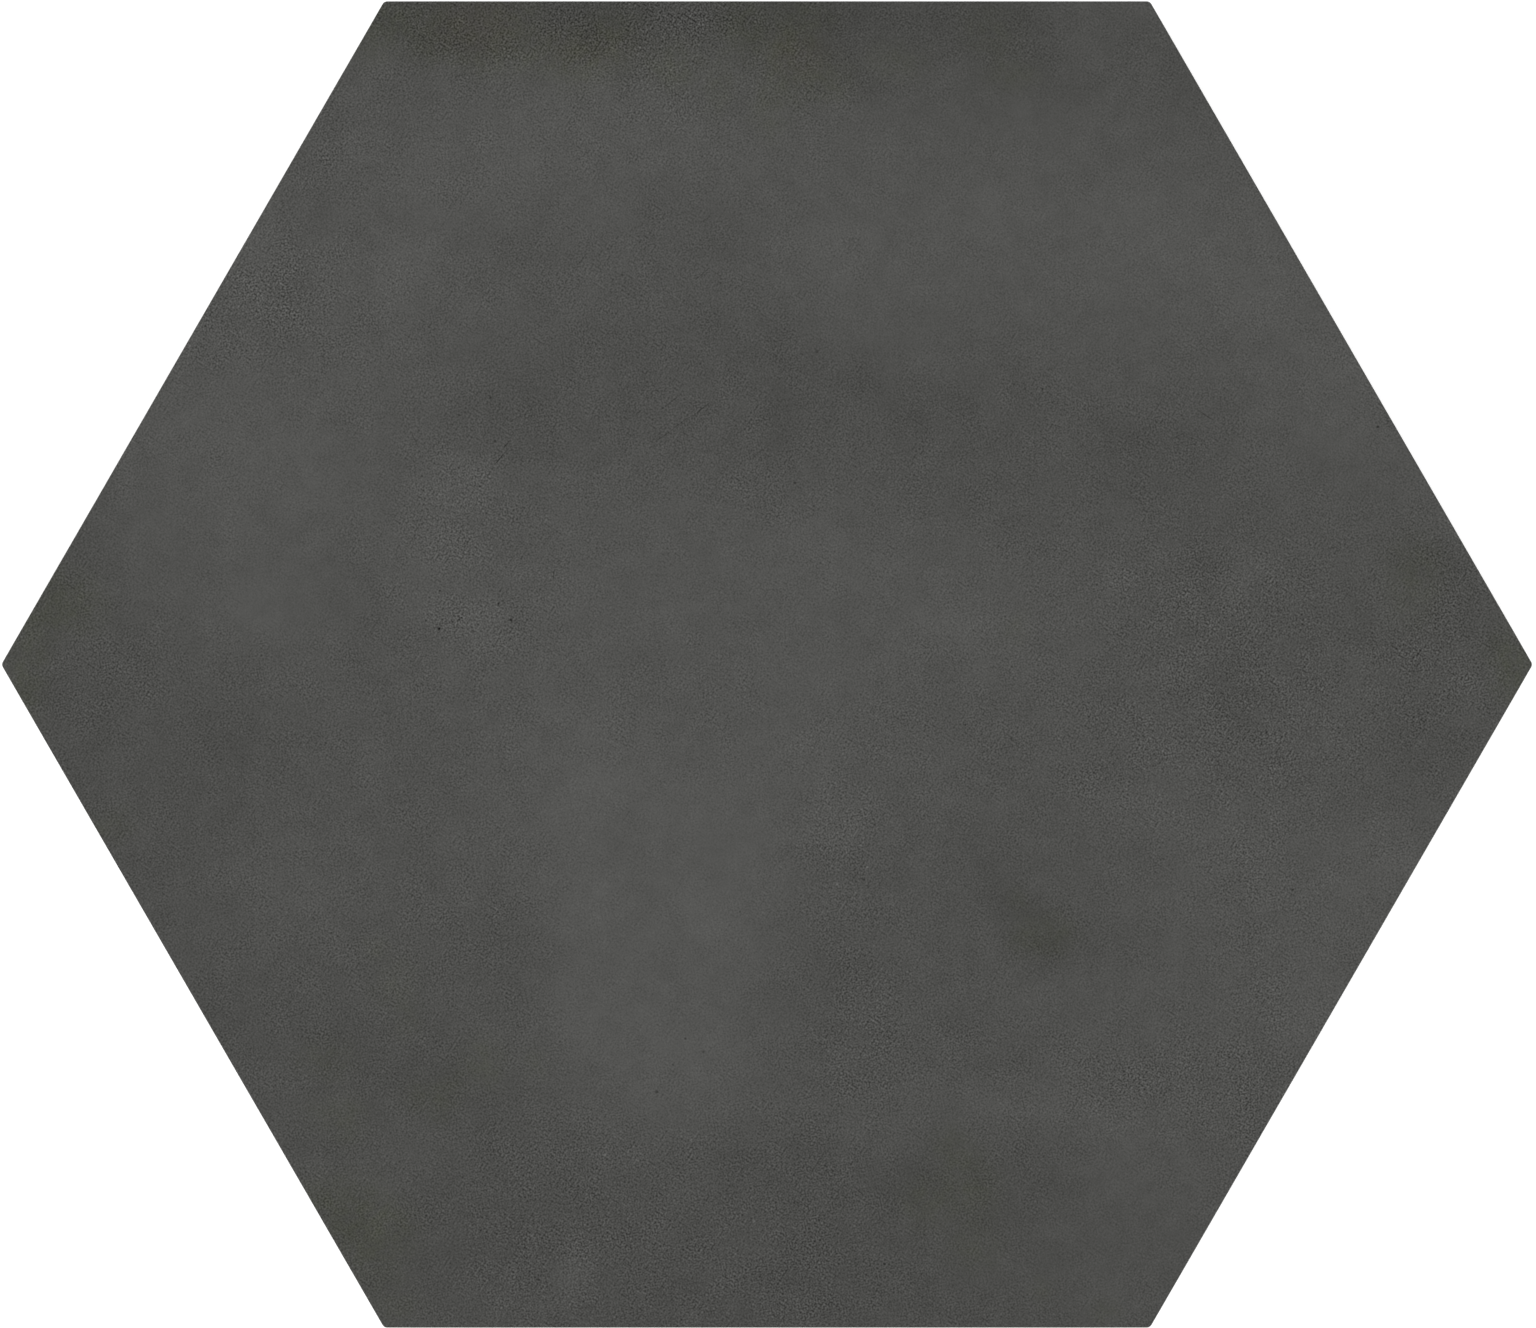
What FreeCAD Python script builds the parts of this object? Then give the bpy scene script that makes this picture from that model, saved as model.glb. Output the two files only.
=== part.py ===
"""A hexagonal floor tile, dry pressed and fired as one piece of dark porcelain.

The tile lies face up on a level bed. Its frame has +Z up through the face, +X
towards a corner and +Y towards a flat side. The origin is the middle of the back,
on the plane of the raised ribs that the tile stands on. All sizes are millimetres.
"""

import FreeCAD, Part
import math
import os
import Sketcher

# Driving dimensions. Each name is an alias in the document's sheet.
SIZES = {
    "across_flats": 182.0,  # between two opposite sides of the face
    "thickness": 9.0,  # from the plane of the ribs to the face
    "corner_round": 0.8,  # radius of the six upright corners, seen from above
    "arris_round": 0.4,  # radius of the eased edge all round the face
    "back_setback": 0.5,  # how far the bevel under the sides runs in over the back
    "back_rise": 1.0,  # how far the same bevel runs up the sides
    "cell_across": 12.0,  # width of one recess of the back, at its mouth
    "rib_width": 2.2,  # width of the ribs left standing between the recesses
    "cell_depth": 0.6,  # depth of the recesses
    "cell_draft": 30.0,  # slope of the recess walls from upright, in degrees
    "back_border": 8.0,  # least plain margin between the recesses and the sides
}

HEXAGON_SIDES = 6
SWEEPS = 3  # the field of recesses is one lozenge of them, turned three times
UP = FreeCAD.Vector(0, 0, 1)


def number_sheet(doc):
    """Puts the driving dimensions into a sheet, one aliased number a cell."""
    sheet = doc.addObject("Spreadsheet::Sheet", "Sizes")
    for row, (alias, value) in enumerate(SIZES.items(), start=1):
        sheet.set(f"A{row}", str(value))
        sheet.setAlias(f"A{row}", alias)
    doc.recompute()
    return sheet


def base_plane(body, role):
    """The plane of the body's own origin with this role."""
    return next(p for p in body.Origin.OriginFeatures if p.Role == role)


def sketch_on_back(body, name):
    """An empty sketch on the plane of the back, looking down on the tile."""
    sketch = body.newObject("Sketcher::SketchObject", name)
    sketch.AttachmentSupport = [(base_plane(body, "XY_Plane"), "")]
    sketch.MapMode = "FlatFace"
    return sketch


def draw_hexagon(sketch, centre_x, across, first_corner):
    """Draws a regular hexagon whose first corner lies at an angle in degrees.

    Six equal sides have their ends on a construction circle, which carries the
    size. Returns the indices of the circle and of the six sides.
    """
    centre = FreeCAD.Vector(centre_x, 0, 0)
    radius = across / math.sqrt(3)
    turns = [math.radians(first_corner + 60 * n) for n in range(HEXAGON_SIDES + 1)]
    corners = [centre + FreeCAD.Vector(math.cos(t), math.sin(t), 0) * radius for t in turns]
    circle = sketch.addGeometry(Part.Circle(centre, UP, radius), True)
    sides = [
        sketch.addGeometry(Part.LineSegment(start, end), False)
        for start, end in zip(corners, corners[1:])
    ]
    for side, following in zip(sides, sides[1:] + sides[:1]):
        sketch.addConstraint(Sketcher.Constraint("Coincident", side, 2, following, 1))
        sketch.addConstraint(Sketcher.Constraint("PointOnObject", side, 1, circle))
    for side in sides[1:]:
        sketch.addConstraint(Sketcher.Constraint("Equal", sides[0], side))
    return circle, sides


def bind_radius(sketch, circle, radius, expression):
    """Sizes the construction circle of a hexagon from the sheet."""
    sketch.addConstraint(Sketcher.Constraint("Radius", circle, radius))
    name = "corner_radius"
    sketch.renameConstraint(sketch.ConstraintCount - 1, name)
    sketch.setExpression(f".Constraints.{name}", expression)


def edge_names(shape, wanted):
    """Names of the edges that the test picks, as a dress-up feature takes them."""
    return [f"Edge{n}" for n, edge in enumerate(shape.Edges, start=1) if wanted(edge)]


def lies_at(height):
    """A test for edges whose ends both lie at one height."""
    return lambda edge: all(math.isclose(v.Z, height, abs_tol=v.Tolerance) for v in edge.Vertexes)


def stands_upright(edge):
    """Whether an edge runs straight up, so that it is as long as it is high."""
    rise = abs(edge.Vertexes[0].Z - edge.Vertexes[-1].Z)
    return math.isclose(rise, edge.Length)


def press_blank(doc, body, sheet):
    """The solid slab: a hexagon with rounded upright corners."""
    sketch = sketch_on_back(body, "OutlineSketch")
    circle, sides = draw_hexagon(sketch, 0, sheet.across_flats, 0)
    sketch.addConstraint(Sketcher.Constraint("Coincident", circle, 3, -1, 1))
    sketch.addConstraint(Sketcher.Constraint("Horizontal", sides[1]))
    bind_radius(sketch, circle, sheet.across_flats / math.sqrt(3), "Sizes.across_flats / sqrt(3)")
    slab = body.newObject("PartDesign::Pad", "Slab")
    slab.Profile = sketch
    slab.setExpression("Length", "Sizes.thickness")
    doc.recompute()
    corners = body.newObject("PartDesign::Fillet", "UprightCorners")
    corners.Base = (slab, edge_names(slab.Shape, stands_upright))
    corners.setExpression("Radius", "Sizes.corner_round")
    doc.recompute()
    return corners


def ease_face(doc, body, sheet, blank):
    """Rounds the arris all round the face."""
    arris = body.newObject("PartDesign::Fillet", "FaceArris")
    arris.Base = (blank, edge_names(blank.Shape, lies_at(sheet.thickness)))
    arris.setExpression("Radius", "Sizes.arris_round")
    doc.recompute()
    return arris


def bevel_back(doc, body, tile):
    """Sets the foot of the sides back, as the lower punch leaves it."""
    bevel = body.newObject("PartDesign::Chamfer", "BackBevel")
    bevel.Base = (tile, edge_names(tile.Shape, lies_at(0)))
    bevel.ChamferType = "Two distances"
    bevel.setExpression("Size", "Sizes.back_rise")
    bevel.setExpression("Size2", "Sizes.back_setback")
    doc.recompute()
    return bevel


def press_cell(doc, body, sketch, name):
    """Sinks one drafted recess into the back from its sketch."""
    cell = body.newObject("PartDesign::Pocket", name)
    cell.Profile = sketch
    cell.Reversed = True
    cell.setExpression("Length", "Sizes.cell_depth")
    cell.setExpression("TaperAngle", "-Sizes.cell_draft")
    doc.recompute()
    return cell


def middle_cell(doc, body, sheet):
    """The recess at the middle of the back."""
    sketch = sketch_on_back(body, "MiddleCellSketch")
    circle, sides = draw_hexagon(sketch, 0, sheet.cell_across, 30)
    sketch.addConstraint(Sketcher.Constraint("Coincident", circle, 3, -1, 1))
    sketch.addConstraint(Sketcher.Constraint("Vertical", sides[2]))
    bind_radius(sketch, circle, sheet.cell_across / math.sqrt(3), "Sizes.cell_across / sqrt(3)")
    return press_cell(doc, body, sketch, "MiddleCell")


def first_cell(doc, body, sheet):
    """The first recess beside the middle one, with the lines its copies follow.

    Two construction lines leave its centre at 0 and at 120 degrees, each square to
    one side of it, towards a neighbour. Returns the sketch and the pocket.
    """
    pitch = sheet.cell_across + sheet.rib_width
    sketch = sketch_on_back(body, "FirstCellSketch")
    circle, sides = draw_hexagon(sketch, pitch, sheet.cell_across, 30)
    sketch.addConstraint(Sketcher.Constraint("PointOnObject", circle, 3, -1))
    sketch.addConstraint(Sketcher.Constraint("Vertical", sides[2]))
    sketch.addConstraint(Sketcher.Constraint("DistanceX", -1, 1, circle, 3, pitch))
    sketch.renameConstraint(sketch.ConstraintCount - 1, "pitch")
    sketch.setExpression(".Constraints.pitch", "Sizes.cell_across + Sizes.rib_width")
    bind_radius(sketch, circle, sheet.cell_across / math.sqrt(3), "Sizes.cell_across / sqrt(3)")
    for side, facing in ((sides[-1], 0), (sides[1], 120)):
        turn = math.radians(facing)
        start = FreeCAD.Vector(pitch, 0, 0)
        end = start + FreeCAD.Vector(math.cos(turn), math.sin(turn), 0) * (sheet.cell_across / 2)
        line = sketch.addGeometry(Part.LineSegment(start, end), True)
        sketch.addConstraint(Sketcher.Constraint("Coincident", line, 1, circle, 3))
        sketch.addConstraint(Sketcher.Constraint("PointOnObject", line, 2, side))
        sketch.addConstraint(Sketcher.Constraint("Perpendicular", line, side))
    return sketch, press_cell(doc, body, sketch, "FirstCell")


def fill_back(doc, body, sheet):
    """Covers the back with recesses, in rings round the middle one.

    The rings are as many as fit inside the border. The first recess is copied
    along one line of neighbours, each copy along the other line, and the lozenge
    that this gives is turned to the two other thirds of the back.
    """
    middle_cell(doc, body, sheet)
    sketch, cell = first_cell(doc, body, sheet)
    reach = "Sizes.across_flats / 2 - Sizes.back_border - Sizes.cell_across / sqrt(3)"
    rings = f"floor(({reach}) / ((Sizes.cell_across + Sizes.rib_width) * cos(30)))"

    def neighbours(name, line, count):
        """A row of copies along one of the sketch's two lines."""
        row = body.newObject("PartDesign::LinearPattern", name)
        row.Direction = (sketch, [line])
        row.Mode = "Spacing"
        row.setExpression("Offset", "Sizes.cell_across + Sizes.rib_width")
        row.setExpression("Occurrences", count)
        return row

    row = neighbours("CellRow", "Axis0", rings)
    lozenge = neighbours("CellLozenge", "Axis1", f"{rings} + 1")
    thirds = body.newObject("PartDesign::PolarPattern", "CellThirds")
    thirds.Axis = (base_plane(body, "Z_Axis"), [""])
    thirds.Angle = 360
    thirds.Occurrences = SWEEPS

    field = body.newObject("PartDesign::MultiTransform", "CellField")
    field.Originals = [cell]
    field.Transformations = [row, lozenge, thirds]
    body.Tip = field
    doc.recompute()
    return field


def check(doc, body):
    """Stops the script if an object failed or the tile isn't one valid solid."""
    failed = [o.Name for o in doc.Objects if {"Invalid", "Error"} & set(o.State)]
    if failed:
        raise RuntimeError(f"these objects failed: {failed}")
    shape = body.Shape
    if shape.isNull() or not shape.isValid() or len(shape.Solids) != 1:
        raise RuntimeError(f"{body.Label} isn't one valid solid")


def build():
    """Makes the document and returns it with the tile's body."""
    doc = FreeCAD.newDocument("HexagonFloorTile")
    sheet = number_sheet(doc)
    body = doc.addObject("PartDesign::Body", "Tile")
    body.Label = "hexagon_tile"
    blank = press_blank(doc, body, sheet)
    eased = ease_face(doc, body, sheet, blank)
    bevel_back(doc, body, eased)
    fill_back(doc, body, sheet)
    check(doc, body)
    return doc, body


document, tile = build()
os.makedirs("parts", exist_ok=True)
tile.Shape.exportStep(f"parts/{tile.Label}.step")
print(tile.Label, "volume", round(tile.Shape.Volume), "mm3, faces", len(tile.Shape.Faces))
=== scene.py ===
"""The finish of a hexagonal floor tile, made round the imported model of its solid.

The tile is one piece of dark porcelain, lying face up. Its mesh is modelled anew over
the solid, with the eased arris, the small unevenness of a fired piece and a few pits in
its face, and it is dressed in three finishes: the printed matt face, the bare fired
sides and the keyed back. Lengths are metres unless a name or a note says millimetres.
"""

import logging
import math
from dataclasses import dataclass
from enum import Enum, IntEnum
from functools import reduce

import bmesh
import bpy
from mathutils import Matrix, Vector, kdtree, noise


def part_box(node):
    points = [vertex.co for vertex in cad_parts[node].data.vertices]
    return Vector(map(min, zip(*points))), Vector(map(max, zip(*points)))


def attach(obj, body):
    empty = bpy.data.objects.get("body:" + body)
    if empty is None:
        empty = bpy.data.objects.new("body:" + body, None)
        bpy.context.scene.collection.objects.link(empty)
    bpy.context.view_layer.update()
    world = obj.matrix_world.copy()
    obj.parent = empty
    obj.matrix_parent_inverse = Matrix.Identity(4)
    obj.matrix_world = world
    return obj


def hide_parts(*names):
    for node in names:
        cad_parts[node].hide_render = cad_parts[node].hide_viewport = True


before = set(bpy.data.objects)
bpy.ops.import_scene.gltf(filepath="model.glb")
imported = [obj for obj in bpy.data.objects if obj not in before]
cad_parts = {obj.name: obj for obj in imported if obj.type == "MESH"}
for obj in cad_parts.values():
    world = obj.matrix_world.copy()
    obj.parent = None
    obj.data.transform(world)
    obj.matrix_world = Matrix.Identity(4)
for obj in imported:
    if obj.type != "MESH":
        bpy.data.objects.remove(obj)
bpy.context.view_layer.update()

MM = 0.001
# Two places that are nearer to each other than a hair count as one.
HAIR = 0.01 * MM
SIDES = 6
SECTOR = math.tau / SIDES
ROOT_3 = math.sqrt(3)
WHITE_LEVEL = 255
DISPLAY_GAMMA = 2.2

log = logging.getLogger("hexagon_tile")

Socket = bpy.types.NodeSocket
Value = float | tuple[float, ...] | Socket


class Skin(IntEnum):
    """The finishes of the tile, in the order of its material slots."""

    FACE = 0
    SIDE = 1
    BACK = 2


class Fade(Enum):
    """How a range of numbers is carried over to another."""

    EVEN = "LINEAR"
    SOFT = "SMOOTHSTEP"
    SOFTER = "SMOOTHERSTEP"


@dataclass(frozen=True)
class Patch:
    """A soft oval on the face, in millimetres from the face's middle.

    Its place says in words where it lies, for whoever changes the print. It is at half
    strength wide or tall millimetres from its own middle, turned by degrees, and soft
    says how much of its reach it fades over: 1 is all of it, from the very middle. Its
    amount is in display levels of 255 for a cloud, in levels of unevenness for a
    stretch of grain, about 1 for a plainly olive stain, and in levels of red for rust.
    """

    place: str
    x: float
    y: float
    wide: float
    tall: float
    amount: float
    turn: float = 0.0
    soft: float = 1.0

    @property
    def reach(self) -> float:
        """How far the oval reaches, as a share of where it is at half strength."""
        return 1 / (1 - self.soft / 2)


@dataclass(frozen=True)
class Pit:
    """A pinhole in the glaze: its place, its mouth's radius and its depth in mm, and its tone, which is
    painted shade that darkens the colour in its hollow.
    """

    x: float
    y: float
    radius: float
    depth: float
    tone: float


@dataclass(frozen=True)
class Fleck:
    """A single dark or pale grain that stands out: its place and radius in mm, and its tone."""

    x: float
    y: float
    radius: float
    tone: float


@dataclass(frozen=True)
class Hairline:
    """A hair-fine scratch in the print: its two ends in mm, and its tone."""

    x: float
    y: float
    end_x: float
    end_y: float
    tone: float


CLOUDS = (
    Patch("upper half, light", -2, 52, 78, 26, 1.4),
    Patch("lower half, dim", 0, -74, 84, 36, -1.1),
    Patch("upper left, light", -42, 66, 24, 15, 1.6, turn=-10),
    Patch("upper right, light", 36, 60, 36, 12, 1.4),
    Patch("left flank, light", -74, 24, 15, 20, 2.4, turn=20),
    Patch("middle, light", -2, 8, 42, 11, 2.2),
    Patch("column", -15.5, -35, 17, 27, 3.8, soft=0.6),
    Patch("lower right flank, light", 68, -33, 19, 12, 1.6, turn=30),
    Patch("arc, dim", 12, 36, 52, 10, -3.6, turn=-3),
    Patch("right, dim", 76, 4, 28, 17, -1.8),
    Patch("left lower flank, dim", -86, -14, 20, 20, -3),
    Patch("lower left, dim", -62, -55, 28, 18, -2.8, turn=-10),
    Patch("bottom, dim", -8, -84, 60, 17, -4.5),
    Patch("right of the column, dim", 16, -42, 14, 14, -1.6),
    Patch("top band, left", -38, 90, 22, 6.5, -10.5, soft=0.8),
    Patch("top band, notch", -12, 88, 8, 6, -3.5),
    Patch("top band, pale spot", -33, 88, 5, 4, 2.2),
    Patch("top band, left end", -54, 87, 4, 5, -1.4),
    Patch("top band, right foot", 36, 80, 6, 4, -2.6),
    Patch("top band, middle", 4, 90, 11, 8, -9.6, soft=0.8),
    Patch("top band, right", 28, 89, 11, 6.5, -7.6, soft=0.8),
    Patch("top band, lower edge", 20, 79, 22, 4, -3),
    Patch("upper right corner, dim", 47, 87, 8, 8, -2),
    Patch("light band under the top", -18, 73, 13, 6, 1.2),
    Patch("upper right edge, dark", 58, 80, 5, 7, -4.2, turn=-30),
    Patch("bright spot under the top", -35, 68, 4.5, 7, 1.8),
    Patch("bright spot, upper left", -52, 52, 5, 5, 3.5),
    Patch("light, upper left edge", -71, 55, 4.5, 3.5, 2.5),
    Patch("dim streak, upper left edge", -63, 64, 3, 6, -2, turn=30),
    Patch("dim, upper left middle", -33, 57, 7, 5, -3.2),
    Patch("dim, upper middle", -9, 57, 9, 7, -3.2),
    Patch("dim, upper middle, low", -10, 45, 14, 5, -1.5),
    Patch("light spot, upper right, inner", 10, 57, 5, 4, 2),
    Patch("light spot, upper right, middle", 32, 62, 4.5, 3, 1.8),
    Patch("light, upper right, outer", 52, 60, 8, 4.5, 2.2, turn=-15),
    Patch("light, right shoulder", 67, 52, 5, 5, 2.5),
    Patch("light, right flank", 77, 38, 6, 11, 3, turn=30),
    Patch("light, left of the arc", -53, 40, 10, 6, 1.8),
    Patch("dim, left upper edge", -93, 18, 5, 6, -3.4, turn=-30),
    Patch("dim, below the arc, right", 30, 21, 9, 4, -2.4),
    Patch("dim, below the arc, outer", 58, 23, 5, 4, -1.6),
    Patch("dark arc, left foot", -36, 34, 7, 4.5, -2.8),
    Patch("dark arc, crown", 2, 43, 5, 4, -1.8, turn=-40),
    Patch("dark arc, darkest", 1, 33, 2.5, 5, -2.6),
    Patch("dark arc, middle", 11, 36, 8, 4, -1.6),
    Patch("dark arc, right", 25, 32, 6, 4.5, -2),
    Patch("dark arc, right foot", 50, 29, 5, 5, -3),
    Patch("dark arc, end", 60, 34, 5, 5, -1.5),
    Patch("light, left middle", -72, 7, 6, 4, 2.8),
    Patch("light, left of middle, upper", -42, 24, 5, 4, 3),
    Patch("light, left of middle, side", -46, 14, 3.5, 6, 2),
    Patch("light, left of middle, lower", -43, 5, 4, 4.5, 1.6),
    Patch("dim strip, left", -56, 6, 3.5, 9, -2, turn=10),
    Patch("dark, left corner", -99, 9, 4.5, 5, -6, turn=60),
    Patch("dark tip, left", -102, -1, 5, 6, -4),
    Patch("dark, left edge", -97, -14, 5, 5, -2),
    Patch("dark, left lower middle", -74, -10, 6, 5, -2.6, turn=-40),
    Patch("light, lower left", -64, -29, 7, 8, 2.6),
    Patch("dim spot, middle", -18, -1, 4, 3, -2),
    Patch("light arc, upper", 6, 18, 6, 3, 1.6),
    Patch("light arc, upper right", 14, 13, 7, 3, 1.4),
    Patch("light arc, lower", 25, 5, 6, 3, 2.2, turn=10),
    Patch("light, centre left", -28, 10, 4, 4, 1),
    Patch("light fleck, right, inner", 48, 12, 3, 3, 1),
    Patch("dark spot, right, upper", 60, 15, 3, 4, -2.6),
    Patch("light fleck, right", 66, 12, 3, 2.5, 3),
    Patch("dark spot, right", 65, -4, 4, 3.5, -3.8),
    Patch("light fleck, right, lower", 76, -8, 4, 4, 1.6),
    Patch("dark spot, right edge", 90, 14, 4, 4, -4),
    Patch("dark, right corner", 90, -11, 5, 5, -2.5),
    Patch("dark tip, right", 103, 0, 5, 5, -3.4),
    Patch("dim, right tip, upper", 97, 7, 5, 5, -2.6, turn=-30),
    Patch("light fleck, right edge", 80, -2, 4, 3, 2),
    Patch("dark fleck, right, lower", 50, -12, 3, 2.5, -2),
    Patch("dim, right of the middle", 35, -15, 6, 5, -1.5),
    Patch("light, right of the column's head", 4, -8, 8, 8, 2.2),
    Patch("light, left of the column's head", -34, -12, 5, 9, 2),
    Patch("dim, left of the column", -36, -38, 5, 8, -2.4),
    Patch("column, head", -25, -14, 4, 6, 2.4),
    Patch("column, left edge", -26, -25, 3, 4, 2),
    Patch("column, middle left", -23, -33, 4, 3, 1.8),
    Patch("column, middle right", -7, -34, 4.5, 4, 2.6),
    Patch("column, dim spot", -20, -26, 2.5, 3, -1.8),
    Patch("column, dim neck", -12, -13, 3, 3, -1.5),
    Patch("column, left foot", -26, -48, 4, 4, 1.5),
    Patch("column, foot", -8, -54, 5, 4, 2),
    Patch("bright spot beside the column", 10, -22, 3.5, 3, 3, turn=30),
    Patch("dark fleck beside the column", 13, -29, 2.5, 2, -2.5),
    Patch("dark, beside the column", 9, -44, 4, 5, -1.8),
    Patch("dark fleck, lower middle", 24, -50, 3, 2.5, -1.4),
    Patch("dark spot, lower right", 37, -37, 6, 4, -7, turn=-30),
    Patch("tail of the dark spot", 29, -28, 4, 4, -3, turn=-40),
    Patch("dim, above the dark spot", 35, -30, 5, 4, -2),
    Patch("dim, beside the dark spot", 47, -36, 7, 4, -2.2),
    Patch("dim, below the dark spot", 32, -54, 5, 3.5, -1.8),
    Patch("light, right lower edge", 86, -26, 4, 5, 2.2, turn=-30),
    Patch("dim, left lower edge", -76, -46, 5, 7, -1.4, turn=30),
    Patch("dim, bottom left corner", -52, -84, 6, 6, -1.6),
    Patch("light, below the dark spot", 36, -44, 5, 3, 2),
    Patch("light, lower right edge", 74, -46, 4, 5, 2.6, turn=-30),
    Patch("light band, lower right", 38, -60, 13, 3, 2.5),
    Patch("light, lower right side", 57, -65, 7, 6, 1.2),
    Patch("dark spot, lower left, outer", -60, -52, 6, 3.5, -2.2, turn=-20),
    Patch("dark spot, lower left, inner", -46, -57, 5, 4, -3.6),
    Patch("light, lower left edge", -50, -66, 4, 3.5, 2),
    Patch("dark, lower left middle", -38, -63, 4, 4, -1.5),
    Patch("dark, lower left edge", -59, -75, 4.5, 4.5, -3.2, turn=30),
    Patch("light fleck, bottom left", -26, -83, 3.5, 3, 4.5),
    Patch("dark, bottom middle", 0, -67, 8, 4, -2.2),
    Patch("dark, bottom, right of the middle", 11, -70, 4, 4, -0.8),
    Patch("dark spot, bottom right", 22, -71, 6, 4.5, -3.8),
    Patch("dark spot, bottom right, lower", 30, -76, 4, 5, -2.4),
    Patch("dark spot, bottom right, outer", 37, -70, 6, 4, -2.6),
    Patch("light, bottom right", 52, -76, 8, 8, 0.5),
    Patch("dark fleck, bottom", 4, -84, 6, 3, -1.2),
    Patch("light, lower right", 45, -65, 7, 5, 1.8),
    Patch("light, bottom", -12, -80, 12, 8, 1.3),
    Patch("light, left of the middle", -27, -6, 5, 4, 1.6),
    Patch("light, left flank", -68, 30, 5, 6, 1.0),
    Patch("light, below the column's side", 22, -50, 4, 3, 0.8),
    Patch("light, right of the arc", 70, 30, 5, 5, 0.8),
    Patch("dim, left of the middle", -55, -15, 14, 12, -0.3),
    Patch("dim, left edge", -90, 5, 5, 5, -2),
    Patch("dim, left of the column's head", -48, -20, 6, 6, -0.8),
    Patch("dim, left lower middle", -62, -28, 5, 5, -0.6),
    Patch("dim, left tip", -97, -5, 4, 4, -1.0),
    Patch("top band, beside the notch", -5, 85, 4, 5, -0.4),
    Patch("dim, below the top band, left", -46, 79, 6, 3, -1),
    Patch("dim, left lower rim", -89, -27, 3.5, 15, -1.6, turn=30),
    Patch("dim, left lower rim, end", -73, -54, 3.5, 8, -1.2, turn=30),
    Patch("dim, left upper rim", -94, 19, 2.5, 6, -1.2, turn=-30),
    Patch("dim, left upper rim, high", -60, 76, 3, 9, -1.3, turn=-30),
    Patch("dim, bottom right rim", 42, -90, 12, 2, -1.6),
    Patch("dim, right lower rim", 67, -63, 3, 5, -1.8, turn=-30),
    Patch("dim, right corner, lower", 86, -14, 12, 5, -1.1),
    Patch("dim, right corner, inner", 91, 3, 3, 5, -1.6),
    Patch("light, right, lower", 58, -20, 5, 5, 1.4),
    Patch("light, right lower edge, inner", 78, -30, 4, 4, 1.2),
    Patch("light, above the column, left", -22, -11, 7, 5, 1.1),
    Patch("light, above the column", 2, -15, 16, 5, 0.9),
    Patch("light, above the bottom", 0, -63, 20, 5, 1.5),
    Patch("light, left of the column's foot", -24, -51, 7, 4, 0.9),
    Patch("light, left of middle, spot", -40, 20, 3.5, 3, 1.8),
    Patch("light, right shoulder, wide", 60, 45, 10, 17, 0.8),
    Patch("dim, upper left, wide", -32, 54, 22, 13, -0.6),
    Patch("dim, upper right, inner", 35, 69, 10, 4, -0.9),
    Patch("dim, right of the middle, upper", 43, 16, 5, 4, -1.4),
    Patch("top band, left, lower part", -45, 84, 5, 4, -1.8),
    Patch("top band, inner, lower part", -22, 84, 9, 4, -1.8),
    Patch("top band, right of the middle", 14, 84, 5, 4.5, -2.8),
    Patch("light, under the top band", -30, 74, 14, 4, 0.9),
    Patch("light, upper left, spot", -47, 64, 4, 8, 1),
    Patch("dim, upper middle, right", 12, 63, 3, 6, -1),
    Patch("light, above the arc", 14, 46, 4, 4, 1.2),
    Patch("dim, upper right", 46, 63, 5, 6, -0.8),
    Patch("dim, right shoulder edge", 63, 69, 4, 4, -1),
    Patch("dim, upper left edge, low", -68, 48, 5, 5, -0.8),
    Patch("light, left flank, upper", -79, 32, 4, 6, 1.3, turn=-30),
    Patch("light, left flank, inner", -63, 26, 3.5, 8, 1),
    Patch("light, left of the middle, spot", -39, 7, 4, 4, 1),
    Patch("dim, beside the arc's foot", -28, 30, 4, 3.5, -1),
    Patch("dim, right of the arc's foot", 60, 28, 6, 4, -1.1),
    Patch("dim, below the arc, middle", 36, 18, 4, 4, -0.9),
    Patch("dim, right, middle", 78, 5, 7, 4, -1),
    Patch("dim, right tip, edge", 96, 12, 2.5, 4, -1.6, turn=30),
    Patch("dim, right tip, lower edge", 98, -10, 2, 4, -1.2, turn=-30),
    Patch("dim, left tip, lower", -94, -7, 5, 4, -1),
    Patch("light, column's shoulder", -28, -18, 5, 5, 0.9),
    Patch("light, left of the column", -38, -25, 5, 6, 0.7),
    Patch("light, right of the column's neck", 3, -23, 8, 3, 1.1),
    Patch("light, right of the column", 18, -36, 5, 4, 1),
    Patch("column, upper right", -12, -28, 3, 3, 0.9),
    Patch("dim, lower right, inner", 35, -25, 16, 4, -0.9),
    Patch("dark spot, lower right, foot", 34, -40, 3, 2, -1.2),
    Patch("dim, below the tail", 26, -35, 2, 3, -1.2),
    Patch("dim, right lower flank", 64, -38, 6, 4, -0.8),
    Patch("dim, beside the column, lower", 16, -43, 3, 3, -0.9),
    Patch("light, lower left edge, upper", -66, -56, 4, 6, 1, turn=30),
    Patch("light, lower left", -53, -70, 9, 3.5, 1.6),
    Patch("light, above the bottom, left", -20, -64, 4, 4, 0.9),
    Patch("dim, above the bottom, right", 7, -64, 3, 2.5, -1.4),
    Patch("dim, bottom right, upper", 24, -65, 3, 2.5, -1),
    Patch("light, bottom left", -34, -87, 5, 4, 1.2),
    Patch("top left corner, lighter", -50, 88, 5, 3, 1.6),
    Patch("top left, lighter", -35, 88, 4, 3, 0.9),
    Patch("top band, middle, lighter", 2, 83, 3.5, 3, 2.1),
    Patch("top right, dim spot", 37, 84, 4, 3, -1.3),
    Patch("top right corner, dim", 49, 86, 4, 3, -0.9),
    Patch("column's head, left, dim", -25, -25, 4, 4, -1.1),
    Patch("column's left flank, dim", -30, -38, 4, 4, -1.1),
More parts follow.
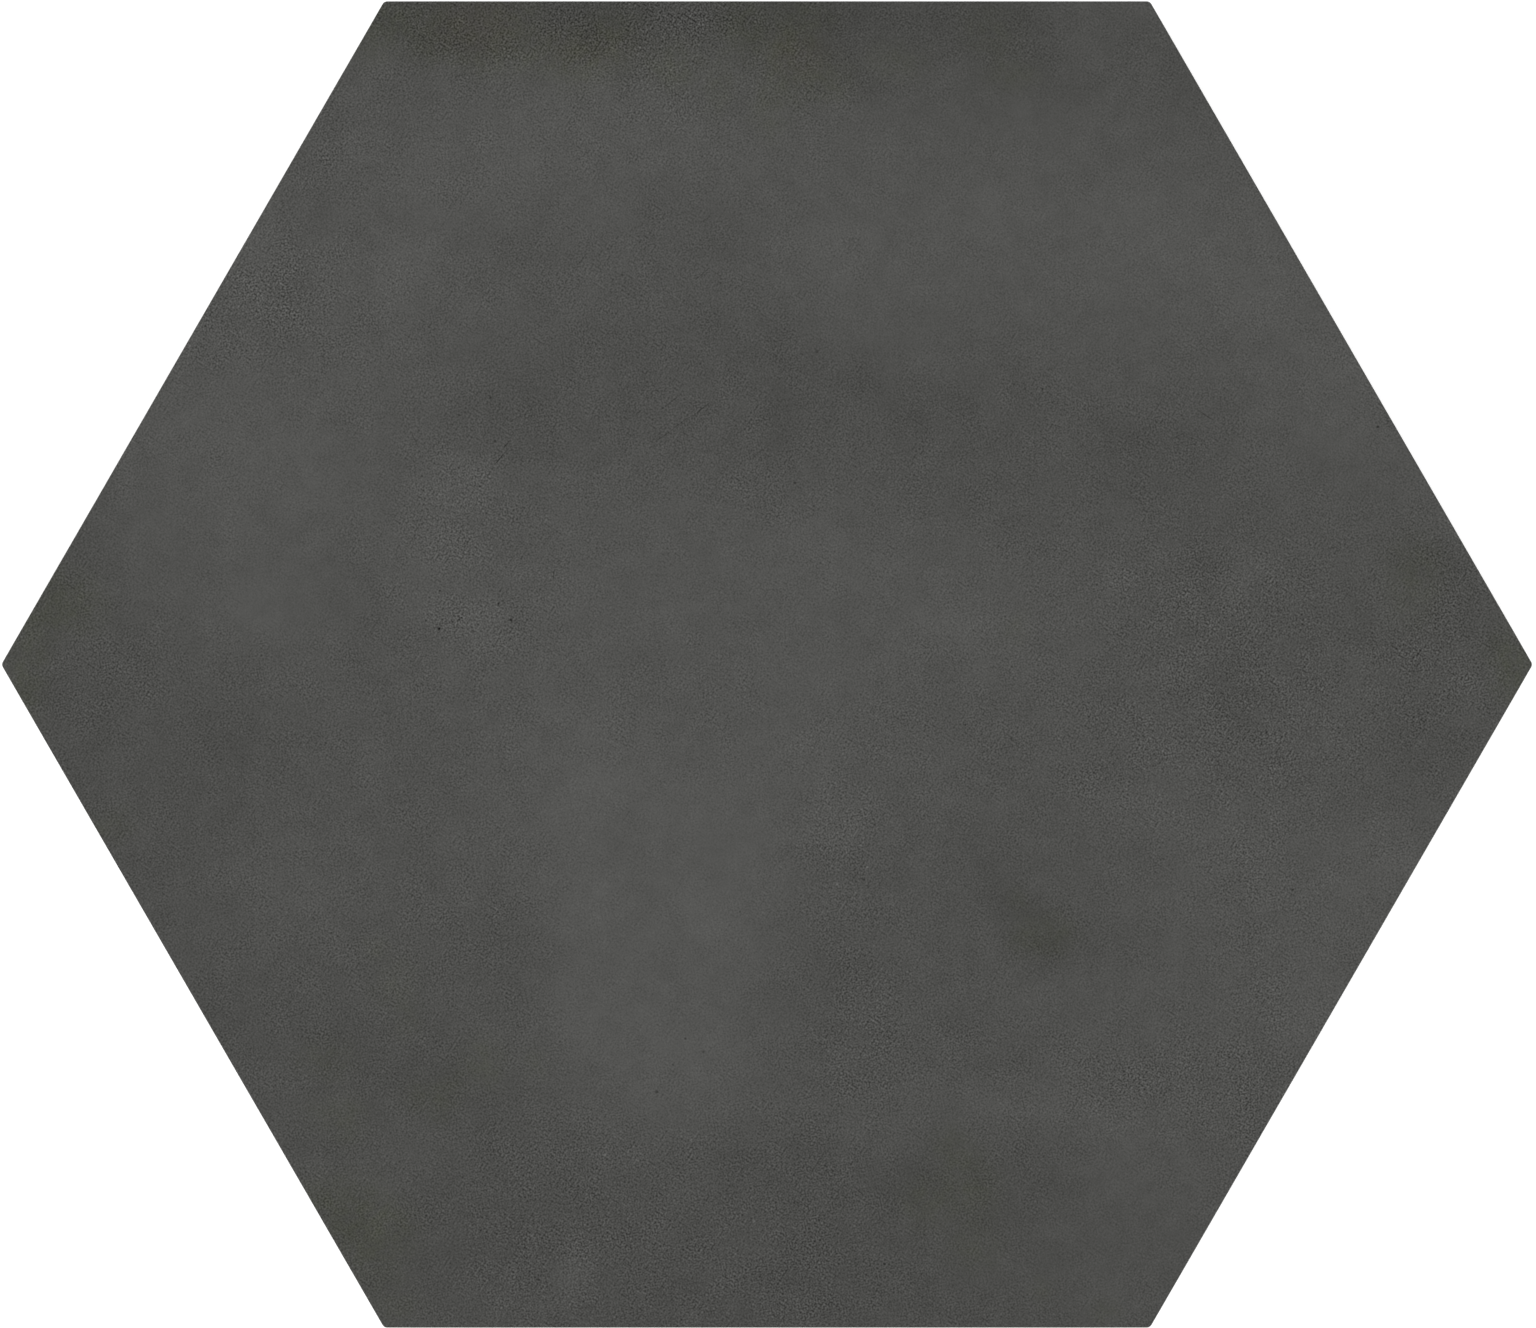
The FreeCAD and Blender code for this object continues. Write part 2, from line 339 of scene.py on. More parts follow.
    Patch("dark spot, lower right, neck", 35, -42, 4, 2, -1.3),
    Patch("above the bottom, dim", 7, -65, 4, 3.5, -1.2),
    Patch("right lower edge, lighter", 76, -50, 3, 8, 1.3, turn=-30),
    Patch("right upper edge, lighter", 82, 39, 2, 4, 1.3, turn=30),
    Patch("left edge, upper, dim", -88, 15, 5, 3, -0.9),
    Patch("lower left, dim", -61, -27, 4, 4, -0.9),
    Patch("right of the column's neck, lighter", 13, -26, 3, 3, 1.1),
    Patch("bottom, left of the middle, dim", -20, -86, 3, 5, -1),
    Patch("lower right, dim", 49, -58, 8, 3.5, -0.8),
    Patch("bottom edge, dim", 14, -89, 5, 2.5, -1),
    Patch("left of the centre, lighter", -39, 0, 3, 3, 0.9),
    Patch("inside the arc, lighter", -10, 19, 6, 3, 0.9),
    Patch("left middle, dim", -50, -5, 3, 4, -0.9),
    Patch("right, low, dim", 77, -20, 6, 3, -0.8),
    Patch("right of the middle, low, lighter", 53, -10, 4, 3, 0.8),
)

GRAIN = (
    Patch("coarse, top left", -38, 87, 11, 5, 1.8),
    Patch("coarse, top", -17, 87, 9, 6, 2.8),
    Patch("coarse, below the top", 4, 80, 6, 5, 1.4),
    Patch("coarse, upper left edge", -68, 52, 9, 5, 1.8),
    Patch("fine line, upper left", -48, 61, 15, 2, -1.4),
    Patch("fine, left flank", -72, 22, 14, 15, -1.4),
    Patch("fine, left middle", -66, 8, 9, 5, -1.4),
    Patch("coarse, left of middle, upper", -42, 21, 6, 7, 2.2),
    Patch("coarse, left of middle, lower", -40, 6, 8, 4, 1.6),
    Patch("fine, upper right", 34, 62, 34, 22, -1.3),
    Patch("fine, right flank", 82, 28, 9, 4, -1.2, turn=-40),
    Patch("fine, centre", -2, 12, 26, 9, -1.2),
    Patch("fine, below the centre", 6, -3, 10, 4, -0.9, turn=20),
    Patch("coarse, right, upper", 62, 8, 13, 8, 1.9),
    Patch("coarse, right, lower", 60, -8, 16, 8, 1.6),
    Patch("coarse, right corner", 92, 0, 7, 9, 1.9),
    Patch("fine, column", -15, -36, 17, 25, -1.4, soft=0.6),
    Patch("coarse, beside the column", 11, -25, 4, 9, 1.5),
    Patch("coarse, right of the column", 13, -50, 5, 10, 2),
    Patch("coarse, lower right", 58, -56, 16, 4, 2.2),
    Patch("coarse, right lower flank", 66, -30, 6, 12, 1.2),
    Patch("fine, lower right", 40, -33, 14, 9, -0.8),
    Patch("fine, bottom right", 47, -78, 18, 10, -1.4),
    Patch("coarse, bottom left", -24, -78, 18, 9, 1.7),
    Patch("coarse, bottom", -2, -84, 12, 5, 1.2),
    Patch("coarse, left corner", -91, -2, 6, 5, 1.6),
    Patch("coarse, right, outer", 76, -8, 8, 12, 0.8),
    Patch("coarse, lower left", -55, -42, 20, 10, 0.5),
    Patch("coarse, upper left", -68, 46, 12, 5, 0.8),
    Patch("coarse, left of the top", -60, 72, 5, 6, 1.0),
    Patch("coarse spot, lower right edge", 68, -47, 4, 4, 1.2),
    Patch("coarse, right edge", 95, 15, 5, 6, 1.0),
    Patch("coarse, bottom middle", 5, -68, 8, 5, 0.5),
    Patch("coarse, bottom, right of the middle", 15, -86, 8, 5, 0.6),
    Patch("fine, right of the arc", 70, 38, 9, 8, -0.6),
    Patch("coarse, lower right rim", 65, -63, 5, 4, 1),
    Patch("coarse, right of the middle", 22, -9, 12, 4, 0.5),
    Patch("coarse, below the notch", -13, 78, 6, 3, 1),
    Patch("coarse, in the arc", 41, 37, 10, 3, 0.6),
    Patch("fine, above the arc", 15, 46, 8, 4, -1),
    Patch("fine, above the arc's left foot", -38, 43, 5, 5, -0.6),
    Patch("fine, upper left", -22, 64, 10, 4, -0.6),
    Patch("fine, left edge", -86, 16, 6, 8, -0.7),
    Patch("fine, left of the arc", -55, 28, 7, 6, -0.8),
    Patch("fine, right of the column's head", 0, -13, 3, 10, -0.8),
    Patch("fine, left of the column's head", -30, -14, 4, 8, -0.7),
    Patch("fine, upper right, top", 36, 77, 10, 5, -0.8),
    Patch("fine, top right", 46, 89, 5, 4, -1),
    Patch("fine, right shoulder", 50, 45, 6, 4, -0.6),
    Patch("fine, lower right, inner", 46, -45, 12, 3, -0.8),
    Patch("fine, right lower flank", 59, -37, 4, 6, -0.6),
    Patch("fine, bottom right, upper", 21, -66, 5, 4, -0.6),
    Patch("coarse, top, notch", -6, 89, 5, 4, 1.4),
    Patch("coarse, top left, edge", -48, 90, 6, 3, 0.9),
    Patch("coarse, upper left rim", -76, 46, 4, 4, 0.8),
    Patch("coarse, left of the centre", -30, 12, 4, 5, 0.9),
    Patch("coarse, inside the arc", -1, 25, 4, 5, 0.9),
    Patch("coarse, left of the column", -35, -32, 6, 7, 0.7),
    Patch("coarse, lower left, inner", -28, -66, 10, 4, 1.3),
    Patch("coarse, bottom, middle to right", 6, -80, 6, 14, 1),
    Patch("coarse, bottom, left", -34, -88, 6, 4, 1),
    Patch("coarse, bottom right", 36, -71, 5, 6, 1),
    Patch("coarse, below the column's side", 25, -51, 6, 4, 0.9),
    Patch("coarse, right of the middle, low", 47, -17, 6, 6, 0.9),
    Patch("coarse, above the dark spot", 43, -32, 5, 4, 0.9),
    Patch("coarse, left flank", -74, 25, 6, 8, 0.8),
    Patch("coarse, above the bottom", -5, -69, 4, 4, 0.7),
    Patch("coarse, upper left edge", -68, 57, 4, 5, 0.6, turn=30),
    Patch("coarse, centre", 6, 12, 8, 5, 0.5),
    Patch("coarse, right lower edge", 61, -64, 7, 3, 0.6),
    Patch("fine, left lower edge", -85, -14, 4, 4, -0.7),
    Patch("fine, bottom left", -47, -83, 5, 3, -0.6),
    Patch("fine, bottom", -9, -83, 7, 3, -0.5),
    Patch("fine, lower right edge", 48, -69, 4, 4, -0.6),
    Patch("fine, column's head", -6, -25, 6, 6, -0.6),
    Patch("fine, left of the middle", -25, 0, 4, 4, -0.6),
    Patch("fine, left middle, upper", -41, 22, 8, 4, -0.5),
    Patch("fine, left middle, outer", -60, 13, 3, 3, -0.7),
    Patch("fine, right, upper", 76, 28, 5, 6, -0.5),
    Patch("fine, lower left edge", -77, -39, 8, 5, -0.5, turn=-60),
)

STAINS = (
    Patch("top left corner", -54, 86, 4, 4, 0.8),
    Patch("top left, outer", -45, 88, 4, 4, 1),
    Patch("top left, middle", -36, 88, 5, 4, 1.1),
    Patch("top left, inner", -25, 84, 5, 4, 1.2),
    Patch("top left, upper", -21, 88, 4, 3, 0.6),
    Patch("top, beside the notch", -13, 83, 4, 3, 0.7),
    Patch("top, middle left", -4, 88, 3, 4, 1.1),
    Patch("top, middle right", 5, 88, 4, 3, 0.9),
    Patch("top, middle, lower", 3, 81, 4, 4, 1),
    Patch("top, fleck", 0, 76, 1.5, 3, 0.7),
    Patch("top right, flecks", 18, 83, 4, 2, 0.7),
    Patch("top right, upper", 31, 87, 3.5, 3, 0.7),
    Patch("top right, lower", 33, 81, 3, 2, 0.9),
    Patch("left corner", -96, 9, 4, 4, 1.3),
    Patch("left tip", -102, -4, 3, 4, 1.0),
    Patch("left lower edge", -90, -22, 3, 2, 0.9),
    Patch("right edge", 89, 12, 3.5, 5, 0.8),
    Patch("right tip", 102, 2, 3, 3, 1.0),
    Patch("lower left, upper", -51, -44, 3, 2.5, 0.7, turn=20),
    Patch("lower left, outer", -61, -54, 3, 2.5, 0.8),
    Patch("lower left, lower", -59, -62, 3.5, 2.5, 0.9),
    Patch("lower left, inner", -46, -60, 3, 2.5, 0.8),
    Patch("lower left, far", -38.5, -55, 2, 3.5, 0.9),
    Patch("lower left edge", -61, -73, 2.5, 3, 0.9),
    Patch("bottom left", -56, -78, 4.5, 7, 1.1),
    Patch("bottom left corner", -51, -88, 3, 2, 0.8),
    Patch("dark spot, lower", 35, -38, 2, 2.5, 0.9),
    Patch("dark spot, side", 39, -37, 2.5, 2.5, 0.9),
    Patch("dark spot, upper", 34, -33, 1.5, 1.5, 0.7),
    Patch("bottom right, left", 22, -74, 3, 3, 0.9),
    Patch("bottom right, middle", 28, -72, 3, 4, 1.0),
    Patch("bottom right, fleck", 29, -80, 3, 2.5, 0.8),
    Patch("bottom right, outer fleck", 38, -86, 1.5, 1.5, 0.7),
    Patch("bottom right corner", 47, -88, 1.5, 1.5, 0.8),
    Patch("bottom right, upper", 25, -67, 3, 2.5, 0.9),
    Patch("fleck, right of the middle", 34, 4.5, 1.4, 1.4, 0.7),
    Patch("fleck, lower left, inner", -32, -55, 1.5, 1.5, 0.6),
    Patch("top left corner, upper", -51, 88, 3, 2, 0.8),
    Patch("top left, lower", -38, 83, 9, 2, 0.8),
    Patch("top, fleck, left", -6, 79, 1.5, 3, 0.9),
    Patch("top, fleck, right", 9, 81, 2.5, 3, 1),
    Patch("top, middle, upper", 2, 85, 4, 2, 0.6),
    Patch("top, left of the notch", -13, 81, 3, 1.5, 0.6),
    Patch("left tip, upper", -101, 3, 3, 5, 1),
    Patch("right tip, lower", 102, -2, 2.5, 3, 1),
    Patch("bottom left, inner", -51, -78, 3, 5, 0.8),
    Patch("lower left, upper fleck", -54, -39, 1.5, 1.5, 0.7),
    Patch("lower left, side fleck", -49, -48, 1.5, 2, 0.6),
    Patch("lower left, slanting", -43, -57, 2, 4, 0.6, turn=-40),
)

RUST = (
    Patch("top left", -40, 88, 5, 4, 1.5),
    Patch("top, left of the notch", -25, 85, 6, 2.5, 0.8),
    Patch("top, middle", 5, 84, 4, 2.5, 1.2),
)

# Each pinhole's last number is painted shade: display levels that darken the face's colour inside its
# hollow.
PITS = (
    Pit(-44.95, 4.9, 0.26, 0.25, -62),
    Pit(-36.8, 8.35, 0.26, 0.12, -23),
    Pit(-35.1, 6.15, 0.34, 0.14, -33),
    Pit(-36.2, 8.7, 0.20, 0.06, -14),
    Pit(-41.9, 6.4, 0.22, 0.12, -28),
    Pit(-40.3, 4.5, 0.24, 0.10, -15),
    Pit(-44.9, 10.1, 0.24, 0.10, -24),
    Pit(-15.1, -58.6, 0.34, 0.12, -20),
    Pit(-11.2, -51.3, 0.28, 0.08, -14),
    Pit(-8.7, -53.1, 0.28, 0.08, -17),
    Pit(-12.9, -54.9, 0.24, 0.06, -12),
    Pit(83.75, 32.6, 0.26, 0.14, -28),
    Pit(72.1, -30.9, 0.26, 0.12, -30),
    Pit(12.4, -28.8, 0.30, 0.06, -6),
    Pit(13.2, -29.5, 0.48, 0.08, -9),
    Pit(13.9, -30.4, 0.26, 0.08, -12),
)

HAIRLINES = (
    Hairline(-35.2, 30.8, -36.2, 29.6, -27),
    Hairline(-35.8, 29.2, -37.6, 27.1, -30),
    Hairline(-7.5, 36.2, -9.9, 34.3, -16),
    Hairline(-9.5, 34.6, -11.5, 33.3, -7),
    Hairline(-10.9, 33.8, -13.3, 32.0, -17),
    Hairline(-12.9, 32.2, -15.6, 30.4, -15),
    Hairline(-11.6, 37.2, -15.1, 34.5, -12),
    Hairline(-17.2, 34.9, -18.2, 34.1, -12),
    Hairline(-5.9, 41.8, -4.9, 39.5, -10),
    Hairline(-48.8, 31.9, -47.7, 29.6, -14),
    Hairline(-49.7, 27.1, -47.6, 26.1, -9),
    Hairline(-46.7, 25.6, -45.3, 23.0, -9),
    Hairline(-27.4, 39.3, -26.1, 38.5, -20),
    Hairline(0.0, 29.8, -2.1, 28.4, -12),
    Hairline(-7.6, 54.6, -10.0, 52.6, -18),
    Hairline(-7.6, 61.5, -9.5, 60.3, -8),
    Hairline(-24.5, 56.6, -26.4, 54.3, -12),
    Hairline(-29.2, 13.1, -29.3, 11.5, -18),
    Hairline(59.0, 34.9, 61.3, 33.4, -15),
    Hairline(55.3, 30.8, 57.3, 31.8, -12),
    Hairline(38.5, 33.1, 40.8, 32.4, -16),
    Hairline(28.3, 16.5, 30.2, 15.6, -7),
    Hairline(20.6, 20.9, 23.2, 20.5, -9),
    Hairline(12.2, -71.9, 13.2, -72.7, -20),
)

FLECKS = (
    Fleck(-36.6, 10.1, 0.22, -30),
    Fleck(-42.2, 6.1, 0.22, -24),
    Fleck(-37.3, 30.6, 0.34, -20),
    Fleck(-39.4, 24.4, 0.30, -26),
    Fleck(-43.0, 24.7, 0.26, -12),
    Fleck(-32.3, 23.2, 0.25, -16),
    Fleck(-47.3, 25.8, 0.28, -16),
    Fleck(-35.0, 33.4, 0.22, -12),
    Fleck(-37.9, 36.6, 0.38, -16),
    Fleck(-36.7, 35.7, 0.28, -14),
    Fleck(-42.2, 34.2, 0.30, -13),
    Fleck(-34.8, 19.7, 0.25, -19),
    Fleck(-19.9, 53.4, 0.30, -20),
    Fleck(3.8, 24.9, 0.34, -24),
    Fleck(6.8, 42.9, 0.38, -15),
    Fleck(37.8, 37.8, 0.26, -24),
    Fleck(35.3, 37.8, 0.30, -17),
    Fleck(54.1, 6.0, 0.30, -14),
    Fleck(92.5, 12.5, 0.34, -15),
    Fleck(27.2, -8.3, 0.22, -36),
    Fleck(33.6, -10.2, 0.36, -15),
    Fleck(68.5, -9.3, 0.30, -15),
    Fleck(77.4, -15.5, 0.26, -13),
    Fleck(88.4, -22.7, 0.30, -18),
    Fleck(-95.9, -14.3, 0.34, -20),
    Fleck(-62.7, -38.5, 0.26, -18),
    Fleck(-59.7, -36.8, 0.24, -28),
    Fleck(-3.7, -33.9, 0.22, -20),
    Fleck(21.1, -26.8, 0.30, -18),
    Fleck(-30.2, -50.0, 0.26, -9),
    Fleck(-38.5, -75.6, 0.22, -24),
    Fleck(-31.4, -84.3, 0.34, -34),
    Fleck(16.1, -82.2, 0.26, -30),
    Fleck(7.1, -76.2, 0.24, -34),
    Fleck(24.8, -42.6, 0.24, -20),
    Fleck(-22.3, -67.2, 0.36, 18),
    Fleck(-10.4, -65.2, 0.30, 24),
    Fleck(-32.4, -78.3, 0.40, 11),
    Fleck(-1.8, -76.4, 0.30, 26),
    Fleck(-40.0, -40.2, 0.22, 18),
    Fleck(9.6, -30.1, 0.36, 23),
    Fleck(13.7, -27.8, 0.34, 26),
    Fleck(12.8, -24.8, 0.26, 14),
    Fleck(10.9, -25.8, 0.26, 14),
    Fleck(47.5, 11.2, 0.60, 8),
    Fleck(50.2, 34.5, 0.34, 9),
)


def eased(share: float) -> float:
    """Eases a share from 0 to 1, level at both ends, as Fade.SOFTER does."""
    return share ** 3 * (share * (6 * share - 15) + 10)


@dataclass(frozen=True)
class Layer:
    """One layer of the print, which the mesh keeps as a number at each of its points."""

    name: str
    patches: tuple[Patch, ...]

    def amounts(self, spots: list[Vector]) -> list[float]:
        """Lays the layer's ovals over one another.

        Args:
            spots: Places on the face, in millimetres.

        Returns:
            The sum of their amounts at each place.
        """
        totals = [0.0] * len(spots)
        for patch in self.patches:
            cosine, sine = math.cos(math.radians(patch.turn)), math.sin(math.radians(patch.turn))
            limit = patch.reach * max(patch.wide, patch.tall)
            for number, spot in enumerate(spots):
                across, up = spot.x - patch.x, spot.y - patch.y
                if abs(across) < limit and abs(up) < limit:
                    along = (across * cosine + up * sine) / patch.wide
                    aside = (up * cosine - across * sine) / patch.tall
                    share = (1 - math.hypot(along, aside) / patch.reach) / patch.soft
                    totals[number] += patch.amount * eased(max(0.0, min(1.0, share)))
        return totals


@dataclass(frozen=True)
class Print:
    """The print on the face: its layers, and how far their ovals stray from true.

    They stray by millimetres, in waves of a span and in finer layers of waves, each a
    share as strong as the last. The waves are a slice through noise, at a level, and
    the seed keeps them the same in each run.
    """

    layers: tuple[Layer, ...] = (
        Layer("Tone", CLOUDS),
        Layer("Grain", GRAIN),
        Layer("Warmth", STAINS),
        Layer("Rust", RUST),
    )
    stray: float = 1.5
    span: float = 9.0
    wave_layers: int = 3
    finer_share: float = 0.6
    level: float = 0.5
    seed: int = 1

    def strayed(self, place: Vector) -> Vector:
        """Moves a place a little this way or that, so that the ovals' edges are ragged.

        Args:
            place: A point of the tile.

        Returns:
            Where the ovals are read for it, in millimetres.
        """
        spot = place / MM
        wave = Vector((spot.x / self.span, spot.y / self.span, self.level))
        way = noise.turbulence_vector(wave, self.wave_layers, False, amplitude_scale=self.finer_share)
        return spot + self.stray * way

    def lay(self, tile: bmesh.types.BMesh) -> None:
        """Writes every layer to the points of the tile.

        Args:
            tile: The mesh that gets them.
        """
        noise.seed_set(self.seed)
        spots = [self.strayed(point.co) for point in tile.verts]
        for layer in self.layers:
            kept = tile.verts.layers.float.new(layer.name)
            for point, amount in zip(tile.verts, layer.amounts(spots)):
                point[kept] = amount


@dataclass(frozen=True)
class Swell:
    """The slight unevenness that pressing and firing leave on a surface.

    Its depth is in metres, and its waves are long and short, in millimetres. The short
    ones are shifted, in waves, so that they don't start where the long ones do.
    """

    depth: float
    long_wave: float
    short_wave: float
    shift: tuple[float, float, float]
    long_share: float = 0.6

    def at(self, place: Vector) -> float:
        """Finds how deep the surface lies.

        Args:
            place: A point of the surface.

        Returns:
            How far it is below its true place there, from 0 to the whole depth.
        """
        long = noise.noise(place / MM / self.long_wave)
        short = noise.noise(place / MM / self.short_wave + Vector(self.shift))
        return self.depth * (1 + long * self.long_share + short * (1 - self.long_share)) / 2


@dataclass(frozen=True)
class Outline:
    """The tile's outline from above: a regular hexagon with rounded corners.

    A corner lies on the +X axis, and the sides are counted from there, the first
    facing 30 degrees. The apothem is the distance from the middle to a side.
    """

    apothem: float
    corner_round: float = 0.8 * MM

    @property
    def side(self) -> float:
        """The length of a side between its two sharp corners."""
        return 2 * self.apothem / ROOT_3

    @property
    def wide(self) -> float:
        """The length between two opposite sharp corners."""
        return 2 * self.side

    def side_at(self, place: Vector) -> int:
        """The number of the side that a place looks towards, from the middle."""
        return int(math.atan2(place.y, place.x) % math.tau // SECTOR)

    def facing(self, side: int) -> tuple[Vector, Vector]:
        """Finds which way a side faces, and which way it runs.

        Args:
            side: The side's number, from 0 to 5.

        Returns:
            Its outward normal and its direction, anticlockwise from above.
        """
        turn = SECTOR * (side + 0.5)
        return Vector((math.cos(turn), math.sin(turn), 0)), Vector((-math.sin(turn), math.cos(turn), 0))

    def along(self, place: Vector, side: int) -> float:
        """How far along a side a place lies, from the side's middle."""
        return place.dot(self.facing(side)[1])

    def outward(self, place: Vector) -> tuple[Vector, Vector]:
        """Finds the point that a place near the edge is measured from.

        Args:
            place: A place on or near the outline.

        Returns:
            The nearest point of the hexagon through the centres of the corner
            rounds, and the direction from it out to the place.
        """
        normal, run = self.facing(self.side_at(place))
        inner = self.apothem - self.corner_round
        reach = inner / ROOT_3
        heart = normal * inner + run * max(-reach, min(reach, place.dot(run)))
        way = Vector((place.x, place.y, 0)) - heart
        return heart, way.normalized()

    def beyond(self, place: Vector) -> float:
        """Measures a place from the hexagon through the centres of the corner rounds.

        Args:
            place: A place on the tile.

        Returns:
            How far outside that hexagon it lies, which is below 0 inside it.
        """
        heart, way = self.outward(place)
        away = (place.xy - heart.xy).length
        return away if way.dot(place) > 0 else -away

    def moved_in(self, place: Vector, inset: float, height: float) -> Vector:
        """Finds the point of the edge beside a place.

        Args:
            place: A place near the outline.
            inset: How far inside the outline the point is.
            height: How high it is.

        Returns:
            The point.
        """
        heart, way = self.outward(place)
        spot = heart + way * (self.corner_round - inset)
        spot.z = height
        return spot


@dataclass(frozen=True)
class Section:
    """The tile's edge in profile, from the rim of its face round to its back.

    Its points are pairs of an inset from the outline and a height.
    """

    thickness: float
    arris_round: float = 0.4 * MM
    face_margin: float = 0.25 * MM
    back_rise: float = 1.0 * MM
    back_setback: float = 0.5 * MM
    easing: float = 0.12 * MM
    arris_steps: int = 6
    wall_steps: int = 6
    easing_steps: int = 3

    @property
    def grid_inset(self) -> float:
        """How far inside the outline the flat face ends."""
        return self.arris_round + self.face_margin

    def turned(self, before: Vector, corner: Vector, after: Vector) -> list[Vector]:
        """Rounds one corner of the profile.

        Args:
            before: The profile's point ahead of the corner.
            corner: The corner.
            after: The profile's point past it.

        Returns:
            Points of a smooth turn that leaves both runs at the easing's distance.
        """
        start = corner + (before - corner).normalized() * self.easing
        end = corner + (after - corner).normalized() * self.easing
        turn = []
        for step in range(self.easing_steps + 1):
            share = step / self.easing_steps
            turn.append(start.lerp(corner, share).lerp(corner.lerp(end, share), share))
        return turn

    def arris(self) -> list[Vector]:
        """Rounds the arris.

        Returns:
            Its points, from the face to the wall.
        """
        angles = [math.pi / 2 * step / self.arris_steps for step in range(self.arris_steps + 1)]
        radius, top = self.arris_round, self.thickness
        return [Vector((radius * (1 - math.sin(t)), top - radius * (1 - math.cos(t)))) for t in angles]

    def wall(self) -> list[Vector]:
        """Draws the profile below the arris.

        Returns:
            The points of the wall, the bevel under it and the start of the bed.
        """
        top = Vector((0, self.thickness - self.arris_round))
        knee = Vector((0, self.back_rise))
        foot = Vector((self.back_setback, 0))
        bed = Vector((2 * self.back_setback, 0))
        turn = self.turned(top, knee, foot)
        rows = [top.lerp(turn[0], step / self.wall_steps) for step in range(1, self.wall_steps)]
        return [*rows, *turn, *self.turned(knee, foot, bed)]


@dataclass(frozen=True)
class Keying:
    """The honeycomb of drafted recesses that keys the back into its bed."""

    cell_across: float = 12.0 * MM
    rib_width: float = 2.2 * MM
    depth: float = 0.6 * MM
    draft: float = math.radians(30)
    rings: int = 6
    mouth_easing: float = 0.12 * MM
    mouth_steps: int = 2

    @property
    def pitch(self) -> float:
        """The distance between the middles of two neighbouring recesses."""
        return self.cell_across + self.rib_width

    def middles(self) -> list[Vector]:
        """The middles of the recesses, in rings round the tile's own."""
        span = range(-self.rings, self.rings + 1)
        return [
            Vector((self.pitch * (column - row / 2), self.pitch * row * ROOT_3 / 2, 0))
            for row in span
            for column in span
            if abs(column - row) <= self.rings
        ]

    def press(self, tile: bmesh.types.BMesh) -> list[bmesh.types.BMEdge]:
        """Adds the recesses and the ribs between them.

        Args:
            tile: The mesh that gets them, at height 0.

        Returns:
            The edges round the outside of the field.
        """
        cells = []
        for middle in self.middles():
            ring = bmesh.ops.create_circle(
                tile, cap_ends=True, segments=SIDES, radius=self.pitch / ROOT_3,
                matrix=Matrix.Translation(middle),
            )["verts"]
            cells += ring[0].link_faces
        corners = [corner for cell in cells for corner in cell.verts]
        bmesh.ops.remove_doubles(tile, verts=corners, dist=HAIR)
        ribs = bmesh.ops.inset_individual(
            tile, faces=cells, thickness=self.rib_width / 2, use_even_offset=True
        )["faces"]
        mouths = [edge for cell in cells for edge in cell.edges]
        walls = bmesh.ops.inset_individual(
            tile, faces=cells, thickness=self.depth * math.tan(self.draft), use_even_offset=True
        )["faces"]
        floors = [corner for cell in cells for corner in cell.verts]
        bmesh.ops.translate(tile, verts=floors, vec=(0, 0, self.depth))
        rim = [edge for rib in ribs for edge in rib.edges if edge.is_boundary]
        for facet in (*cells, *ribs, *walls):
            facet.material_index = Skin.BACK
        bmesh.ops.bevel(
            tile, geom=mouths, offset=self.mouth_easing, offset_type="OFFSET",
            segments=self.mouth_steps, profile=0.5, affect="EDGES", material=-1,
        )
        return rim


@dataclass(frozen=True)
class BakePlan:
    """Where the tile's skins lie on its square texture.

    The face takes most of the square. The sides stand in two rows of three strips to
    its right, and the back, at a smaller scale, lies above it. The sizes are shares of
    the square, apart from the face's height and the two rows' middles, which are shares
    of the face's width.
    """

    tile_wide: float
    face_wide: float = 0.82
    face_tall: float = 0.868
    margin: float = 0.006
    back_margin: float = 0.015
    strip_margin: float = 0.018
    strip_pitch: float = 0.0546
    low_row: float = 0.26
    row_pitch: float = 0.53
    columns: int = 3

    @property
    def scale(self) -> float:
        """How much of the square a metre of the face or the sides takes."""
        return self.face_wide / self.tile_wide

    def face(self, spot: Vector) -> tuple[float, float]:
        """Finds a place on the face.

        Args:
            spot: The place, in plan.

        Returns:
            Its place on the square.
        """
        across = self.margin + self.face_wide / 2
        up = self.margin + self.face_wide * self.face_tall / 2
        return across + spot.x * self.scale, up + spot.y * self.scale

    def back(self, spot: Vector) -> tuple[float, float]:
        """Finds a place on the back.

        Args:
            spot: The place, in plan.

        Returns:
            Its place on the square.
        """
        low, high = self.back_margin + self.face_wide * self.face_tall, 1 - self.margin
        scale = (high - low) / (self.tile_wide * ROOT_3 / 2)
        across = self.margin + self.tile_wide / 2 * scale
        return across + spot.x * scale, (low + high) / 2 + spot.y * scale

    def strip(self, side: int, along: float, height: float) -> tuple[float, float]:
        """Finds a place on one of the sides.

        Args:
            side: The side's number, from 0 to 5.
            along: How far along it the place lies, from its middle.
            height: How high the place is.

        Returns:
            Its place on the square.
        """
        row, column = divmod(side, self.columns)
        left = self.face_wide + self.strip_margin + column * self.strip_pitch
        middle = self.margin + self.face_wide * (self.low_row + row * self.row_pitch)
        return left + height * self.scale, middle + along * self.scale


def new_mesh(name: str, shape: bmesh.types.BMesh) -> bpy.types.Mesh:
    """Makes a mesh of a finished shape.

    Args:
        name: The mesh's name.
        shape: The shape, which is freed.

    Returns:
        The mesh.
    """
    mesh = bpy.data.meshes.new(name)
    shape.to_mesh(mesh)
    shape.free()
    return mesh


